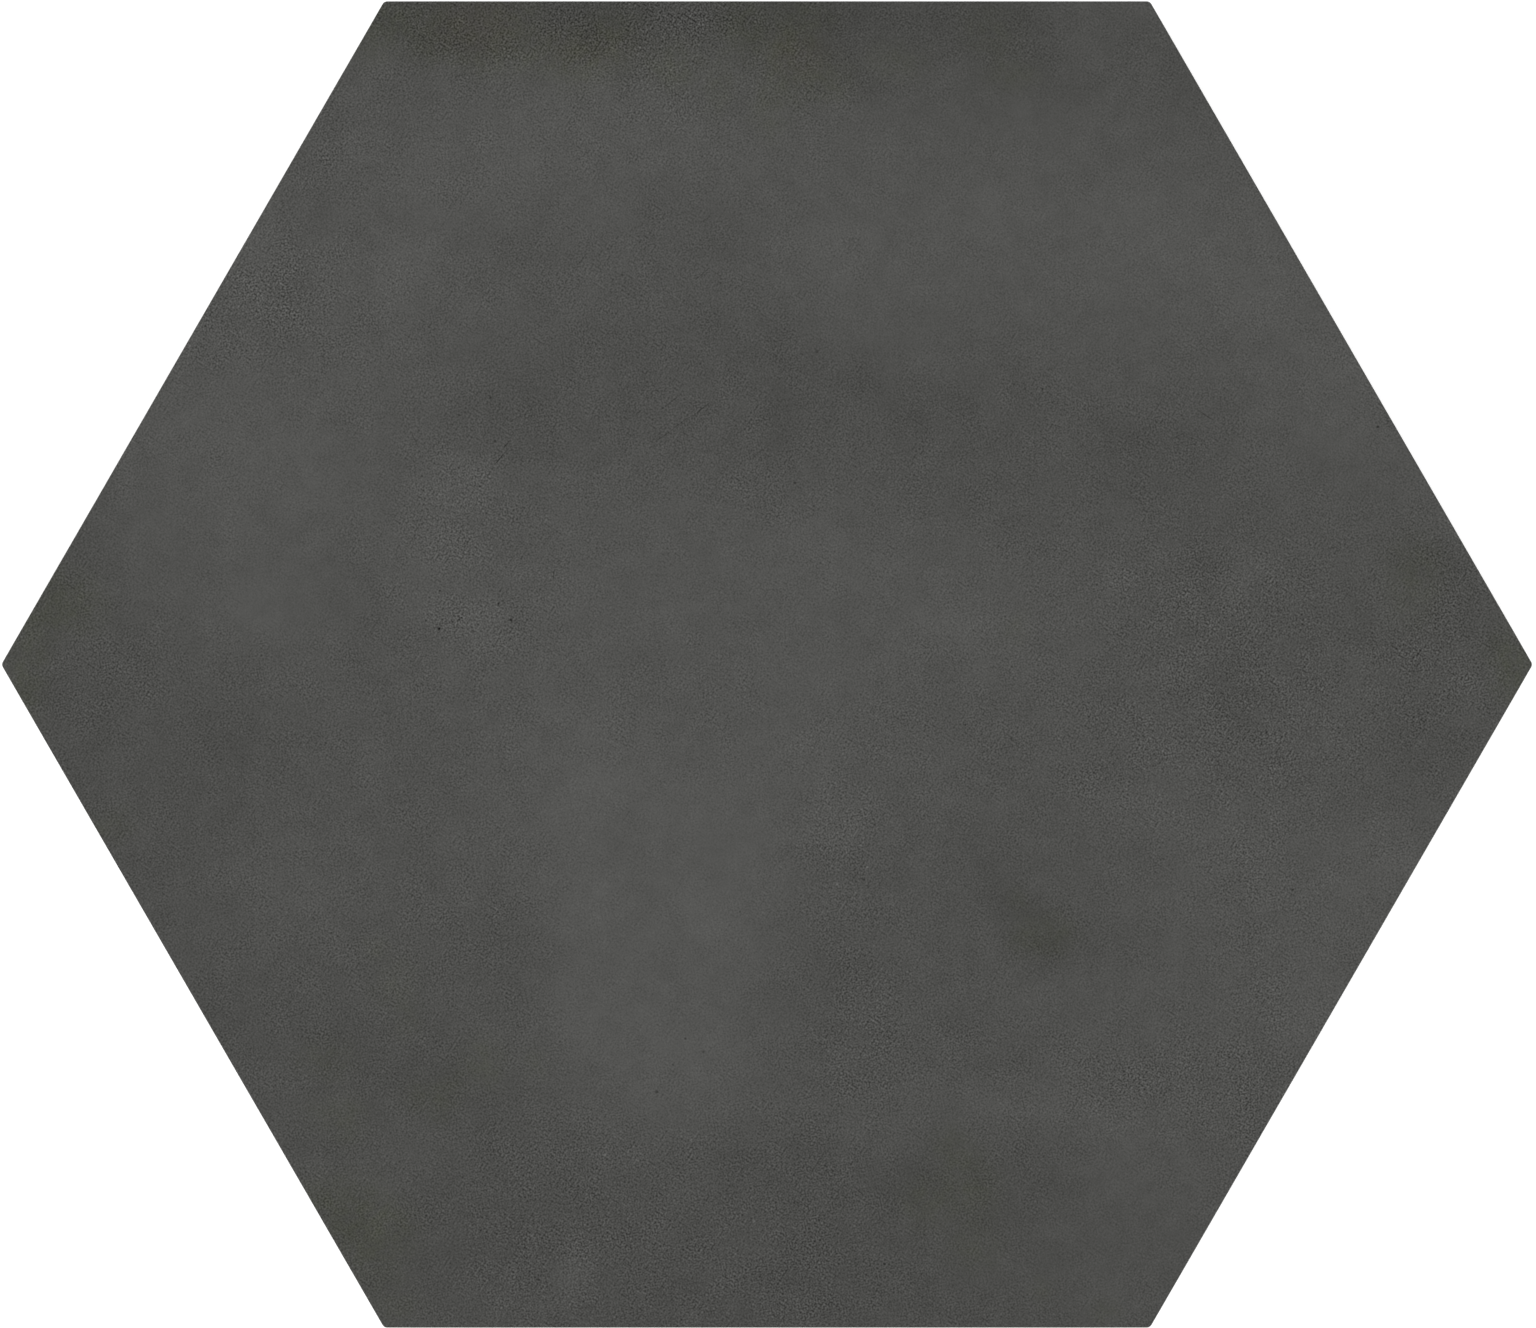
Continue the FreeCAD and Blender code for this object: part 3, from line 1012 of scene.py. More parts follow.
def in_scene(name: str, data: bpy.types.ID) -> bpy.types.Object:
    """Puts a mesh, a lamp or a lens in the scene.

    Args:
        name: The object's name.
        data: What it holds.

    Returns:
        The object, at the origin.
    """
    made = bpy.data.objects.new(name, data)
    bpy.context.scene.collection.objects.link(made)
    return made


@dataclass
class PressedTile:
    """The tile itself: one pressed and fired piece.

    Round each pinhole its face is refined as often as there are reaches, each time
    within that reach.
    """

    outline: Outline
    section: Section
    keying: Keying = Keying()
    printed: Print = Print()
    name: str = "pressed_tile"
    node: str = "hexagon_tile"
    slot: str = "porcelain"
    grid_steps: int = 64
    corner_steps: int = 3
    pit_reaches: tuple[float, ...] = (2.2 * MM, 1.3 * MM, 0.8 * MM, 0.5 * MM)
    face_swell: Swell = Swell(depth=0.035 * MM, long_wave=17, short_wave=6, shift=(9, 4, 2))
    wall_swell: Swell = Swell(depth=0.012 * MM, long_wave=28, short_wave=9, shift=(3, 8, 1))
    crease: float = math.radians(32)

    def build(self) -> bpy.types.Object:
        """Models the whole tile as one closed mesh and puts it in the scene.

        Returns:
            The piece, without its finishes.
        """
        tile = bmesh.new()
        self.lay_face(tile)
        self.round_corners(tile)
        self.draw_down_walls(tile)
        self.close_back(tile)
        bmesh.ops.recalc_face_normals(tile, faces=tile.faces[:])
        self.sink_pits(tile)
        self.fire(tile)
        self.printed.lay(tile)
        self.mark_creases(tile)
        self.unwrap(tile)
        return in_scene(self.name, new_mesh(self.name, tile))

    def lay_face(self, tile: bmesh.types.BMesh) -> None:
        """Makes the flat face as a fine triangular grid, up to the margin of the arris.

        Args:
            tile: The empty mesh.
        """
        radius = (self.outline.apothem - self.section.grid_inset) * 2 / ROOT_3
        turned = Matrix.Translation((0, 0, self.section.thickness)) @ Matrix.Rotation(math.pi / 2, 4, "Z")
        bmesh.ops.create_circle(
            tile, cap_ends=True, cap_tris=True, segments=SIDES, radius=radius, matrix=turned
        )
        bmesh.ops.subdivide_edges(tile, edges=tile.edges[:], cuts=self.grid_steps - 1, use_grid_fill=True)
        for facet in tile.faces:
            facet.material_index = Skin.FACE

    def round_corners(self, tile: bmesh.types.BMesh) -> None:
        """Gives the rim of the face its rounded corners.

        Args:
            tile: The flat face.
        """
        radius = self.outline.corner_round - self.section.grid_inset
        inner = self.outline.apothem - self.outline.corner_round
        rim = [vertex for vertex in tile.verts if vertex.is_boundary]
        for corner in sorted(rim, key=lambda vertex: -vertex.co.xy.length)[:SIDES]:
            way = Vector((corner.co.x, corner.co.y, 0)).normalized()
            heart = way * (inner * 2 / ROOT_3)
            heart.z = corner.co.z
            for edge in [e for e in corner.link_edges if e.is_boundary]:
                clockwise = way.cross(edge.other_vert(corner).co - corner.co).z < 0
                for step in range(self.corner_steps, 0, -1):
                    turn = SECTOR / 2 * step / self.corner_steps * (-1 if clockwise else 1)
                    _, point = bmesh.utils.edge_split(edge, corner, 0.5)
                    point.co = heart + Matrix.Rotation(turn, 3, "Z") @ way * radius
                    edge = next(e for e in corner.link_edges if e.other_vert(corner) is point)
            corner.co = heart + way * radius

    def draw_down_walls(self, tile: bmesh.types.BMesh) -> None:
        """Draws the rim of the face out over the arris and down the walls, ring by ring.

        Args:
            tile: The face with its rounded corners.
        """
        rings = [(point, Skin.FACE) for point in self.section.arris()]
        rings += [(point, Skin.SIDE) for point in self.section.wall()]
        rim = [edge for edge in tile.edges if edge.is_boundary]
        for point, skin in rings:
            grown = bmesh.ops.extrude_edge_only(tile, edges=rim)["geom"]
            for vertex in grown:
                if isinstance(vertex, bmesh.types.BMVert):
                    vertex.co = self.outline.moved_in(vertex.co, point.x, point.y)
            for facet in grown:
                if isinstance(facet, bmesh.types.BMFace):
                    facet.material_index = skin
            rim = [e for e in grown if isinstance(e, bmesh.types.BMEdge) and e.is_boundary]

    def close_back(self, tile: bmesh.types.BMesh) -> None:
        """Presses the keying into the back and fills the plain margin round it.

        Args:
            tile: The face and walls, open below.
        """
        rim = [edge for edge in tile.edges if edge.is_boundary]
        field = self.keying.press(tile)
        margin = bmesh.ops.triangle_fill(tile, use_beauty=True, use_dissolve=False, edges=rim + field)
        for facet in margin["geom"]:
            if isinstance(facet, bmesh.types.BMFace):
                facet.material_index = Skin.BACK

    def sink_pits(self, tile: bmesh.types.BMesh) -> None:
        """Refines the face round each pinhole and sinks it.

        Args:
            tile: The closed tile.
        """
        middles = kdtree.KDTree(len(PITS))
        for number, pit in enumerate(PITS):
            middles.insert((pit.x * MM, pit.y * MM, self.section.thickness), number)
        middles.balance()
        for reach in self.pit_reaches:
            near = [e for e in tile.edges if all(middles.find(v.co)[2] < reach for v in e.verts)]
            bmesh.ops.subdivide_edges(tile, edges=near, cuts=1, use_grid_fill=True)
        bmesh.ops.triangulate(tile, faces=[
            facet for facet in tile.faces if facet.material_index == Skin.FACE and len(facet.verts) > 4
        ])
        for vertex in tile.verts:
            _, number, away = middles.find(vertex.co)
            pit = PITS[number]
            share = away / (pit.radius * MM)
            if share < 1:
                vertex.co.z -= pit.depth * MM * (1 - share * share) ** 2

    def fire(self, tile: bmesh.types.BMesh) -> None:
        """Gives the face and walls the slight unevenness that pressing and firing leave.

        Args:
            tile: The closed tile.
        """
        face_low = self.section.thickness - self.section.arris_round - HAIR
        rim = self.outline.corner_round - self.section.grid_inset + HAIR
        for vertex in tile.verts:
            place = vertex.co.copy()
            if place.z > face_low:
                vertex.co.z -= self.face_swell.at(place)
            if place.z > self.section.back_rise and self.outline.beyond(place) > rim:
                _, way = self.outline.outward(place)
                vertex.co -= way * self.wall_swell.at(place)

    def mark_creases(self, tile: bmesh.types.BMesh) -> None:
        """Shades the tile smooth, apart from its creases.

        Args:
            tile: The fired tile.
        """
        for facet in tile.faces:
            facet.smooth = True
        for edge in tile.edges:
            skins = {facet.material_index for facet in edge.link_faces}
            sharp = edge.calc_face_angle(0.0) >= self.crease
            edge.smooth = not sharp and skins != {Skin.SIDE, Skin.BACK}

    def unrolled(self, spot: Vector) -> Vector:
        """Lays the arris flat beside the face.

        Args:
            spot: A place on the face or its arris.

        Returns:
            The place, moved out on the arris by as much as that has fallen there.
        """
        if self.outline.beyond(spot) <= self.outline.corner_round - self.section.arris_round:
            return spot
        return spot + self.outline.outward(spot)[1] * (self.section.thickness - spot.z)

    def unwrap(self, tile: bmesh.types.BMesh) -> None:
        """Lays the tile out flat: once for its texture, and once round its sides.

        Args:
            tile: The fired tile.
        """
        plan = BakePlan(self.outline.wide)
        bake = tile.loops.layers.uv.new("OFBake")
        band = tile.loops.layers.uv.new("RoundTheSides")
        for facet in tile.faces:
            side = self.outline.side_at(facet.calc_center_median())
            for loop in facet.loops:
                spot = loop.vert.co
                along = self.outline.along(spot, side)
                loop[band].uv = ((side * self.outline.side + along) / MM, spot.z / MM)
                if facet.material_index == Skin.BACK:
                    loop[bake].uv = plan.back(spot)
                elif facet.material_index == Skin.SIDE:
                    loop[bake].uv = plan.strip(side, along, spot.z)
                else:
                    loop[bake].uv = plan.face(self.unrolled(spot))

    def dress(self, piece: bpy.types.Object) -> None:
        """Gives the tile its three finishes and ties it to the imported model.

        Args:
            piece: The tile, as it was built.
        """
        printed = PrintedGlaze()
        body = FiredBody()
        for finish in (printed, FiredSide(printed, body), KeyedBack(body)):
            piece.data.materials.append(finish.material())
        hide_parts(self.node)
        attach(piece, "root")


@dataclass(frozen=True)
class Waves:
    """Cloudy noise: its waves to a millimetre, its whole swing, and its finer layers.

    Detail is how many finer layers it has, and roughness how strong they are.
    """

    scale: float
    swing: float = 1.0
    detail: float = 2.0
    roughness: float = 0.5


@dataclass(frozen=True)
class Range:
    """A range of numbers, what its two ends become, and how it runs between them.

    Only an even one is held between its ends, as a soft one is level there.
    """

    low: float
    high: float
    to_low: float = 0.0
    to_high: float = 1.0
    fade: Fade = Fade.SOFT


@dataclass
class Graph:
    """A node tree that is being wired, with a short call for each node it needs."""

    tree: bpy.types.NodeTree

    def feed(self, socket: Socket, value: Value) -> None:
        """Links a socket to another, or sets it.

        Args:
            socket: The socket.
            value: The other socket, or the number or row of numbers that it is set to.
        """
        if isinstance(value, Socket):
            self.tree.links.new(value, socket)
        else:
            socket.default_value = value

    def node(self, kind: str, **settings: object) -> bpy.types.Node:
        """Adds a node.

        Args:
            kind: Its kind, without the word that each shader node starts with.
            settings: Its own settings, by name.

        Returns:
            The node.
        """
        made = self.tree.nodes.new(f"ShaderNode{kind}")
        for name, setting in settings.items():
            setattr(made, name, setting)
        return made

    def wired(
        self, kind: str, inputs: dict[int | str, Value], output: int = 0, **settings: object
    ) -> Socket:
        """Adds a node and feeds it.

        Args:
            kind: Its kind.
            inputs: What its sockets get, by number or name.
            output: The number of the output that is wanted.
            settings: Its own settings, by name.

        Returns:
            That output.
        """
        made = self.node(kind, **settings)
        for socket, value in inputs.items():
            self.feed(made.inputs[socket], value)
        return made.outputs[output]

    def end(self, surface: Socket, kind: str = "OutputMaterial") -> None:
        """Ends the tree in a surface, or the world's in its sky."""
        self.feed(self.node(kind).inputs["Surface"], surface)

    def maths(self, operation: str, *values: Value) -> Socket:
        """One sum on numbers."""
        return self.wired("Math", dict(enumerate(values)), operation=operation)

    def total(self, *values: Value) -> Socket:
        """Several numbers added up."""
        return reduce(lambda so_far, value: self.maths("ADD", so_far, value), values)

    def vector(self, operation: str, *values: Value) -> Socket:
        """One sum on vectors."""
        return self.wired("VectorMath", dict(enumerate(values)), operation=operation)

    def part(self, vector: Socket, axis: int) -> Socket:
        """One of a vector's three numbers."""
        return self.wired("SeparateXYZ", {0: vector}, axis)

    def turned(self, where: Socket, angle: float) -> Socket:
        """The same place in a frame turned by an angle about the upright axis."""
        return self.wired("Mapping", {"Vector": where, "Rotation": (0, 0, angle)})

    def millimetres(self) -> Socket:
        """The place on the piece, in millimetres."""
        place = self.node("TexCoord").outputs["Object"]
        return self.wired("VectorMath", {0: place, "Scale": 1 / MM}, operation="SCALE")

    def kept(self, name: str) -> Socket:
        """A number that the mesh keeps at each of its points."""
        return self.node("Attribute", attribute_name=name).outputs["Fac"]

    def dust(self, where: Socket, scale: float) -> Socket:
        """Fine, even noise in the plane, about 0, with as little as can be of coarser waves."""
        inputs = {"Vector": where, "Scale": scale, "Detail": 0.0}
        return self.maths("SUBTRACT", self.wired("TexNoise", inputs, noise_dimensions="2D"), 0.5)

    def noise(self, where: Socket, waves: Waves) -> Socket:
        """Cloudy noise about 0.5, whatever its swing."""
        inputs = {"Scale": waves.scale, "Detail": waves.detail, "Roughness": waves.roughness}
        return self.wired("TexNoise", {"Vector": where, **inputs})

    def swing(self, where: Socket, waves: Waves) -> Socket:
        """Cloudy noise about 0, with its whole swing."""
        return self.maths("MULTIPLY", self.maths("SUBTRACT", self.noise(where, waves), 0.5), waves.swing)

    def remap(self, value: Socket, bounds: Range) -> Socket:
        """Carries a range of numbers over to another.

        Args:
            value: The number.
            bounds: The two ranges.

        Returns:
            The new number.
        """
        even = bounds.fade is Fade.EVEN
        names = ("Value", "From Min", "From Max", "To Min", "To Max")
        values = (value, bounds.low, bounds.high, bounds.to_low, bounds.to_high)
        return self.wired(
            "MapRange", dict(zip(names, values)), interpolation_type=bounds.fade.value, clamp=even
        )

    def patchy(self, where: Socket, waves: Waves, bounds: Range) -> Socket:
        """Cloudy noise that is carried over to other numbers."""
        return self.remap(self.noise(where, waves), bounds)

    def blend(self, share: Value, first: Value, second: Value) -> Socket:
        """Mixes two colours, from the first at 0 to the second at 1."""
        return self.wired("Mix", {0: share, 6: first, 7: second}, 2, data_type="RGBA")

    def painted(self, where: Socket, patches: tuple[Patch, ...]) -> Socket:
        """Lays soft ovals over one another.

        Args:
            where: The place in millimetres, with its height taken out.
            patches: The ovals.

        Returns:
            The sum of their amounts.
        """
        total: Value = 0.0
        for patch in patches:
            oval = self.node("TexGradient", gradient_type="SPHERICAL")
            self.feed(oval.inputs["Vector"], where)
            oval.texture_mapping.vector_type = "TEXTURE"
            oval.texture_mapping.translation = (patch.x, patch.y, 0)
            oval.texture_mapping.rotation = (0, 0, math.radians(patch.turn))
            oval.texture_mapping.scale = (patch.wide * patch.reach, patch.tall * patch.reach, 1)
            strength = self.remap(oval.outputs["Fac"], Range(0, patch.soft, fade=Fade.SOFTER))
            total = self.maths("MULTIPLY_ADD", strength, patch.amount, total)
        return total

    def bumped(self, height: Socket, distance: float) -> Socket:
        """A normal that follows a height, given in units of a distance in metres."""
        return self.wired("Bump", {"Strength": 1.0, "Distance": distance, "Height": height})

    def shaded(self, colour: Value, roughness: Value, normal: Socket, sheen: float) -> None:
        """Ends the tree in a solid surface.

        Args:
            colour: Its colour.
            roughness: How matt it is.
            normal: Which way it faces.
            sheen: How much it mirrors when seen square on, where 0.5 is as glass.
        """
        self.end(self.wired("BsdfPrincipled", {
            "Base Color": colour, "Roughness": roughness, "Normal": normal, "Specular IOR Level": sheen,
        }))


def new_graph(owner: bpy.types.Material | bpy.types.World) -> Graph:
    """Starts the nodes of a material or the world.

    Args:
        owner: The material or the world.

    Returns:
        Its graph, with no node in it.
    """
    owner.use_nodes = True
    owner.node_tree.nodes.clear()
    return Graph(owner.node_tree)


def new_material(name: str) -> tuple[bpy.types.Material, Graph]:
    """An empty material and the graph of its nodes."""
    material = bpy.data.materials.new(name)
    return material, new_graph(material)


@dataclass(frozen=True)
class Look:
    """What a finish gives to a surface: its colour, roughness and height."""

    colour: Socket
    roughness: Socket
    height: Socket


def from_levels(graph: Graph, level: Socket, tints: tuple[Value, Value, Value], gloss: float) -> Socket:
    """Turns a display level into a surface colour.

    Args:
        graph: The tree that gets the nodes.
        level: The grey as it should show, in levels of 255.
        tints: What red, green and blue add to it, in levels.
        gloss: The light that the surface mirrors by itself, which the colour leaves out.

    Returns:
        The colour.
    """
    shares = [graph.maths("DIVIDE", graph.maths("ADD", level, tint), WHITE_LEVEL) for tint in tints]
    shown = graph.wired("CombineXYZ", dict(enumerate(shares)))
    colour = graph.wired("Gamma", {"Color": shown, "Gamma": DISPLAY_GAMMA})
    return graph.vector("SUBTRACT", colour, (gloss, gloss, gloss))


@dataclass(frozen=True)
class PrintedGlaze:
    """The matt printed face: soft clouds, a fine grain, stains, painted shade in the pinholes, and
    hairlines.

    Tones are display levels of 255. The grain is dust, bent so that its strong specks
    stand out and its dark ones more so, and it comes and goes in stretches, as the
    stains do. A hairline is an oval: its reach is a share of the line's length, and its
    width is in millimetres.
    """

    level: float = 80.05
    clouds: Waves = Waves(0.12, 5.0, 4, 0.6)
    mottle: Waves = Waves(0.4, 17.2, 4, 0.75)
    grain: float = 3.2
    grain_least: float = 1.0
    grain_stretches: Waves = Waves(0.22, detail=3, roughness=0.6)
    grain_strength: Range = Range(0.3, 0.7, 0.56, 1.36, Fade.EVEN)
    speck_levels: float = 10.1
    dust_scale: float = 3.8
    dust_turn: float = math.radians(33)
    dust_cubed: float = 1.3
    dust_squared: float = -0.36
    blue: float = -1.75
    stain_green: float = 0.6
    stain_blue: float = -1.9
    stain_stretches: Waves = Waves(0.55, detail=3, roughness=0.6)
    stain_strength: Range = Range(0.35, 0.65, 0.4, 1.5, Fade.EVEN)
    hair_reach: float = 0.4
    hair_width: float = 0.07
    hair_soft: float = 0.8
    sheen: float = 0.25
    gloss: float = 0.02
    roughness: float = 0.62
    roughness_waves: Waves = Waves(0.8, 0.12)
    relief: float = 0.012 * MM
    relief_waves: Waves = Waves(0.7)
    dust_relief: float = 0.12

    def marks(self) -> tuple[Patch, ...]:
        """Draws the pinholes' painted shade, the hairlines and the single grains.

        Returns:
            Them as small ovals.
        """
        # The pinholes' tones are painted shade in their hollows; the single grains' tones are their own
        # colour.
        spots = [Patch("spot", s.x, s.y, s.radius / 2, s.radius / 2, s.tone) for s in (*PITS, *FLECKS)]
        lines = []
        for line in HAIRLINES:
            run = Vector((line.end_x - line.x, line.end_y - line.y))
            middle = Vector((line.end_x + line.x, line.end_y + line.y)) / 2
            turn = math.degrees(math.atan2(run.y, run.x))
            size = run.length * self.hair_reach, self.hair_width
            lines.append(Patch("hairline", *middle, *size, line.tone, turn, self.hair_soft))
        return (*spots, *lines)

    def specks(self, graph: Graph, place: Socket, dust: Socket) -> Socket:
        """Wires the fine grain.

        Args:
            graph: The tree that gets the nodes.
            place: The place in millimetres.
            dust: The dust that it is made of.

        Returns:
            What it adds to the tone, in levels.
        """
        least = graph.maths("MAXIMUM", graph.total(graph.kept("Grain"), self.grain), self.grain_least)
        strength = graph.patchy(place, self.grain_stretches, self.grain_strength)
        bend = graph.maths("MULTIPLY_ADD", dust, self.dust_cubed, self.dust_squared)
        dots = graph.maths("MULTIPLY_ADD", graph.maths("MULTIPLY", dust, dust), bend, dust)
        levels = graph.maths("MULTIPLY", graph.maths("MULTIPLY", least, strength), self.speck_levels)
        return graph.maths("MULTIPLY", dots, levels)

    def tints(self, graph: Graph, place: Socket) -> tuple[Value, Value, Value]:
        """Wires the stains and the rust.

        Args:
            graph: The tree that gets the nodes.
            place: The place in millimetres.

        Returns:
            What red, green and blue add to the tone, in levels.
        """
        strength = graph.patchy(place, self.stain_stretches, self.stain_strength)
        warmth = graph.maths("MULTIPLY", graph.kept("Warmth"), strength)
        green = graph.maths("MULTIPLY", warmth, self.stain_green)
        return graph.kept("Rust"), green, graph.maths("MULTIPLY_ADD", warmth, self.stain_blue, self.blue)

    def look(self, graph: Graph, marked: bool = True) -> Look:
        """Wires the print.

        Args:
            graph: The tree that gets the nodes.
            marked: Whether it has the painted shade of its pinholes, its hairlines and its single grains.

        Returns:
            Its colour, roughness and height.
        """
        place = graph.millimetres()
        flat = graph.vector("MULTIPLY", place, (1, 1, 0))
        dust = graph.dust(graph.turned(place, self.dust_turn), self.dust_scale)
        level = graph.total(
            graph.kept("Tone"),
            self.level,
            graph.swing(place, self.clouds),
            graph.swing(place, self.mottle),
            self.specks(graph, place, dust),
            # The marks hold the pinholes' painted shade as well as the hairlines and single grains.
            graph.painted(flat, self.marks()) if marked else 0.0,
        )
        colour = from_levels(graph, level, self.tints(graph, place), self.gloss)
        roughness = graph.total(self.roughness, graph.swing(place, self.roughness_waves))
        waves = graph.swing(place, self.relief_waves)
        return Look(colour, roughness, graph.maths("MULTIPLY_ADD", dust, self.dust_relief, waves))

    def material(self) -> bpy.types.Material:
        """Makes the face's material.

        Returns:
            The material.
        """
        made, graph = new_material("printed_glaze")
        look = self.look(graph)
        graph.shaded(look.colour, look.roughness, graph.bumped(look.height, self.relief), self.sheen)
        return made


@dataclass(frozen=True)
class FiredBody:
    """The bare porcelain under the print: a warmer grey of fine granules.

    Tones are display levels of 255. The dark flecks are noise that is shifted, in
    millimetres, so that they don't lie where the pale ones do.
    """

    level: float = 100.0
    warm: float = 2.0
    granules: Waves = Waves(2.6, 46.0, 2, 0.7)
    shade: Waves = Waves(0.18, 9.0, 3)
    pale: Waves = Waves(3.4, detail=1)
    pale_levels: Range = Range(0.64, 0.74, 0, 16)
    dark: Waves = Waves(2.9, detail=1)
    dark_levels: Range = Range(0.65, 0.75, 0, -22)
    dark_shift: tuple[float, float, float] = (31, 17, 5)
    gloss: float = 0.016
    roughness: float = 0.78
    roughness_waves: Waves = Waves(1.3, 0.14)
    granule_relief: float = 0.06

    def look(self, graph: Graph, stroke: Value = 0.0) -> Look:
        """Wires the bare body.

        Args:
            graph: The tree that gets the nodes.
            stroke: Levels that drag marks add.

        Returns:
            Its colour, roughness and height.
        """
        place = graph.millimetres()
        shifted = graph.vector("ADD", place, self.dark_shift)
        granules = graph.swing(place, self.granules)
        level = graph.total(
            granules,
            self.level,
            graph.swing(place, self.shade),
            graph.patchy(place, self.pale, self.pale_levels),
            graph.patchy(shifted, self.dark, self.dark_levels),
            stroke,
        )
        colour = from_levels(graph, level, (self.warm, 0.0, -2 * self.warm), self.gloss)
        roughness = graph.total(self.roughness, graph.swing(place, self.roughness_waves))
        return Look(colour, roughness, graph.maths("MULTIPLY", granules, self.granule_relief))


@dataclass(frozen=True)
class FiredSide:
    """The sides: bare body with faint drag marks, and the print lapping over the arris.

    The marks are noise drawn out along the side. The lap is the range of heights, in
    millimetres, over which the print ends.
    """

    printed: PrintedGlaze
    body: FiredBody
    drawn_out: tuple[float, float, float] = (3.0, 0.22, 1)
    strokes: Waves = Waves(1.0, 14.0, 3, 0.6)
    ragged: Waves = Waves(0.5, 1.1, 4, 0.65)
    lap: Range = Range(7.85, 8.25)
    relief: float = 0.02 * MM
    stroke_relief: float = 0.12
    lap_relief: float = 1.2

    def material(self) -> bpy.types.Material:
        """Makes the sides' material.

        Returns:
            The material.
        """
        made, graph = new_material("fired_side")
        band = graph.node("UVMap", uv_map="RoundTheSides").outputs[0]
        strokes = graph.swing(graph.vector("MULTIPLY", band, self.drawn_out), self.strokes)
        bare = self.body.look(graph, strokes)
        glaze = self.printed.look(graph, marked=False)
        lap = graph.remap(graph.total(graph.part(band, 1), graph.swing(band, self.ragged)), self.lap)
        colour = graph.blend(lap, bare.colour, glaze.colour)
        height = graph.total(bare.height, graph.maths("MULTIPLY", strokes, self.stroke_relief))
        height = graph.maths("MULTIPLY_ADD", lap, self.lap_relief, height)
        graph.shaded(colour, bare.roughness, graph.bumped(height, self.relief), self.printed.sheen)
        return made


@dataclass(frozen=True)
class KeyedBack:
    """The back: bare body, with pale kiln wash on the ribs that the tile was fired on.

    The ribs end over a range of heights in millimetres, and the wash is powdery.
    """

    body: FiredBody
    wash: tuple[float, float, float, float] = (0.36, 0.345, 0.31, 1.0)
    ribs: Range = Range(0.05, 0.22, 1, 0)
    powder: Waves = Waves(0.16, detail=6, roughness=0.72)
    powder_share: Range = Range(0.34, 0.66, 0.12, 0.6)
    sheen: float = 0.2
    relief: float = 0.03 * MM

    def material(self) -> bpy.types.Material:
        """Makes the back's material.

        Returns:
            The material.
        """
        made, graph = new_material("keyed_back")
        bare = self.body.look(graph)
        place = graph.millimetres()
        ribs = graph.remap(graph.part(place, 2), self.ribs)
        washed = graph.maths("MULTIPLY", ribs, graph.patchy(place, self.powder, self.powder_share))
        colour = graph.blend(washed, bare.colour, self.wash)
        graph.shaded(colour, bare.roughness, graph.bumped(bare.height, self.relief), self.sheen)
        return made


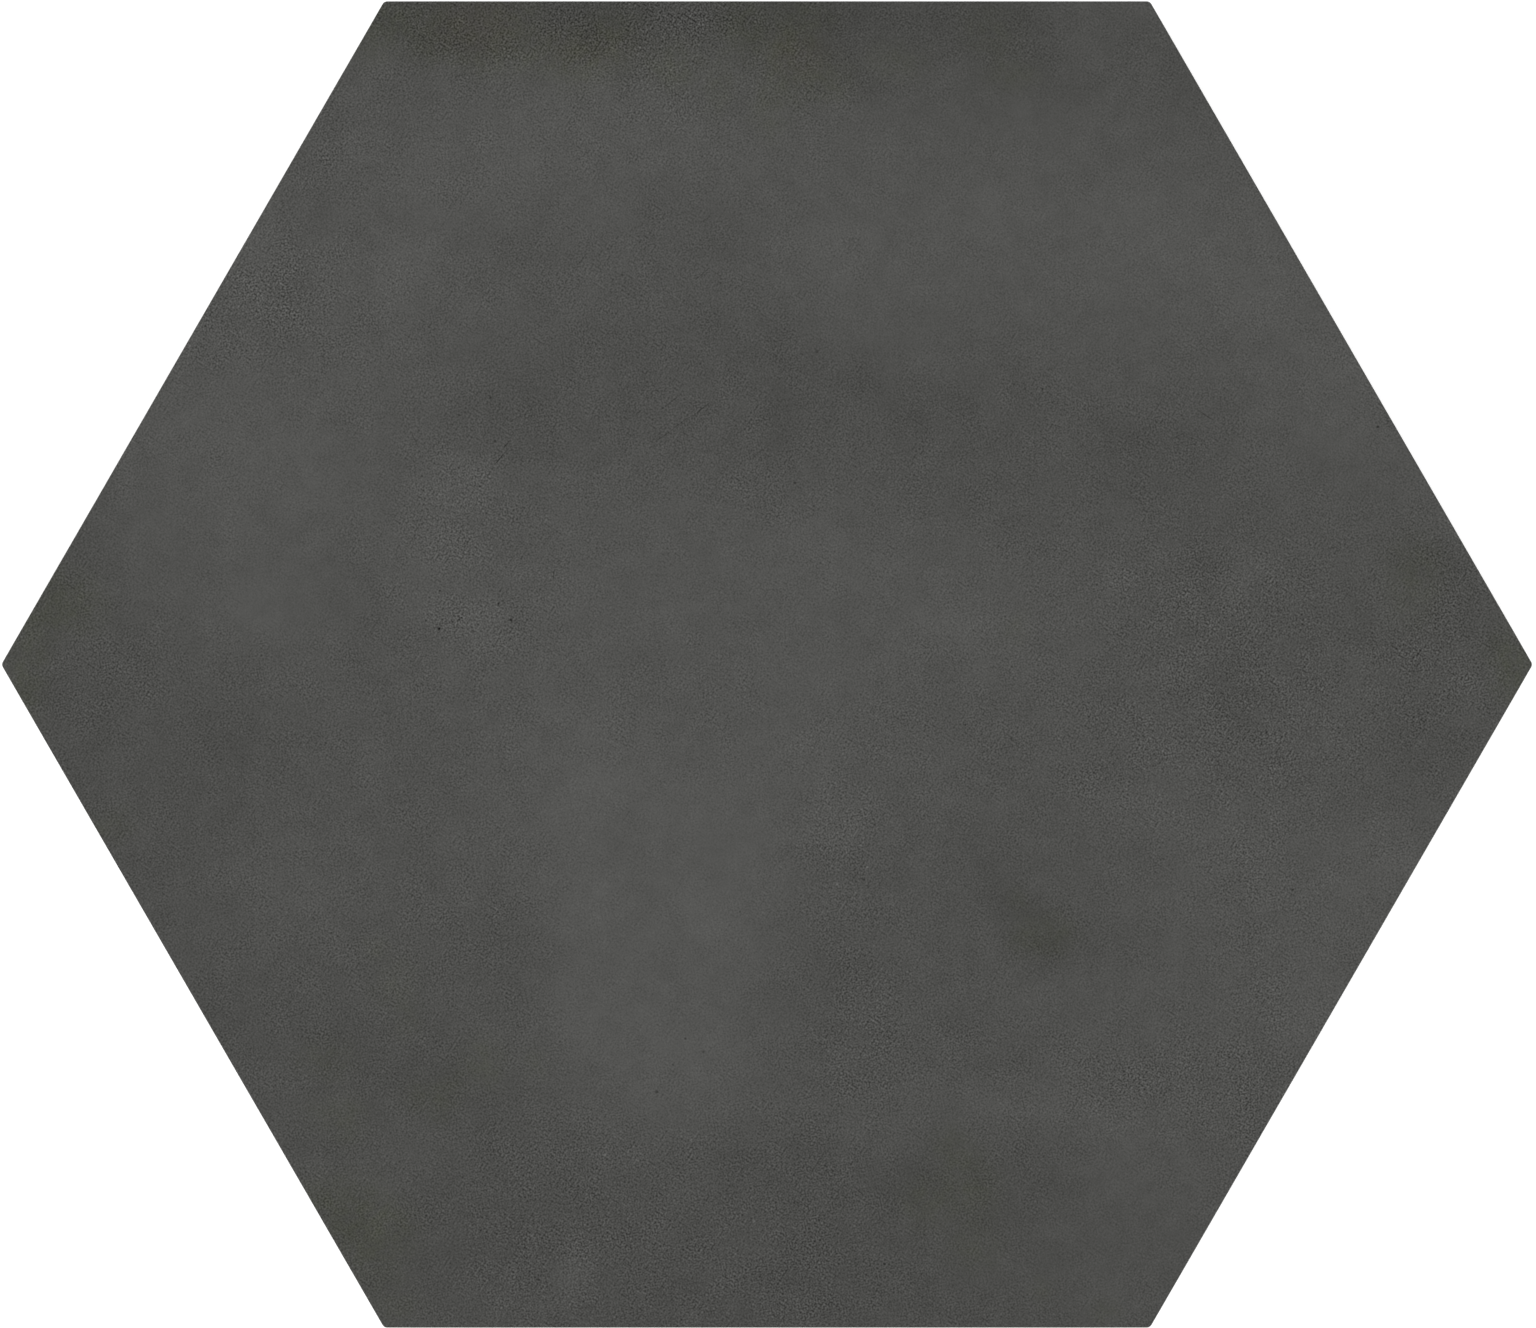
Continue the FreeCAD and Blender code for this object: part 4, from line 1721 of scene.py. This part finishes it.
@dataclass
class Studio:
    """The plain white studio: floor, even light and a camera that looks straight down.

    Sizes and places in the photo are pixels of it. The floor glows a little to the
    camera, so that its white ends at the tile, and its paper takes the tile's shadow.
    """

    tile: PressedTile
    photo_wide: float = 1536.0
    tile_in_photo: float = 1532.9
    tile_left_of_middle: float = 1.0
    tile_below_middle: float = 0.5
    lens: float = 85.0
    sensor: float = 36.0
    room: float = 4.0
    paper: tuple[float, float, float, float] = (0.8, 0.8, 0.8, 1)
    glow: float = 0.5
    daylight: float = 0.72
    white: float = 1.0
    key: float = 0.30
    key_tilt: float = math.radians(14)
    key_turn: float = math.radians(-35)
    key_spread: float = math.radians(64)

    def build(self) -> None:
        """Makes the floor, the lights and the camera."""
        self.lay_floor()
        self.light()
        self.set_camera()

    def seen_directly(self, graph: Graph) -> Socket:
        """Finds whether a ray comes from the camera, straight or by a mirroring surface.

        Args:
            graph: The tree that gets the nodes.

        Returns:
            1 if it does, and 0 if it doesn't.
        """
        path = graph.node("LightPath").outputs
        either = graph.maths("MAXIMUM", path["Is Camera Ray"], path["Is Glossy Ray"])
        return graph.maths("MAXIMUM", either, path["Is Transmission Ray"])

    def lay_floor(self) -> None:
        """Lays the white floor, which keeps the tile's shadow."""
        ground = bmesh.new()
        bmesh.ops.create_grid(ground, x_segments=1, y_segments=1, size=self.room / 2)
        floor = in_scene("floor", new_mesh("floor", ground))
        made, graph = new_material("white_floor")
        paper = graph.wired("BsdfDiffuse", {"Color": self.paper})
        glow = graph.wired("Emission", {"Strength": self.glow})
        both = graph.wired("AddShader", {0: paper, 1: glow})
        graph.end(graph.wired("MixShader", {0: self.seen_directly(graph), 1: paper, 2: both}))
        floor.data.materials.append(made)

    def light(self) -> None:
        """Fills the room with even daylight and adds one broad, soft key light."""
        world = bpy.data.worlds.new("studio")
        bpy.context.scene.world = world
        graph = new_graph(world)
        daylight = Range(0, 1, self.daylight, self.white, Fade.EVEN)
        strength = graph.remap(self.seen_directly(graph), daylight)
        sky = graph.wired("Background", {"Color": (1, 1, 1, 1), "Strength": strength})
        graph.end(sky, "OutputWorld")

        lamp = bpy.data.lights.new("key", "SUN")
        lamp.angle = self.key_spread
        lamp.energy = math.pi * self.key / math.cos(self.key_tilt)
        in_scene("key", lamp).rotation_euler = (self.key_tilt, 0, self.key_turn)

    def set_camera(self) -> None:
        """Hangs the camera over the face, at the height that fills the frame with it."""
        pixel = self.tile.outline.wide / self.tile_in_photo
        distance = pixel * self.photo_wide * self.lens / self.sensor
        lens = bpy.data.cameras.new("camera")
        lens.lens = self.lens
        lens.sensor_width = self.sensor
        camera = in_scene("camera", lens)
        height = self.tile.section.thickness + distance
        camera.location = (self.tile_left_of_middle * pixel, self.tile_below_middle * pixel, height)
        bpy.context.scene.camera = camera


def main() -> None:
    """Builds the tile and the studio round it."""
    logging.basicConfig(level=logging.INFO, format="%(name)s: %(message)s")
    low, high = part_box("hexagon_tile")
    tile = PressedTile(Outline(apothem=(high.y - low.y) / 2), Section(thickness=high.z - low.z))
    piece = tile.build()
    log.info("%s has %d faces", piece.name, len(piece.data.polygons))
    tile.dress(piece)
    log.info("%s wears %s", piece.name, ", ".join(m.name for m in piece.data.materials))
    Studio(tile).build()
    scene = bpy.context.scene
    scene.view_settings.view_transform = "Standard"
    log.info("studio is lit, camera %.3f m above the face", scene.camera.location.z - high.z)


if __name__ == "__main__":
    main()
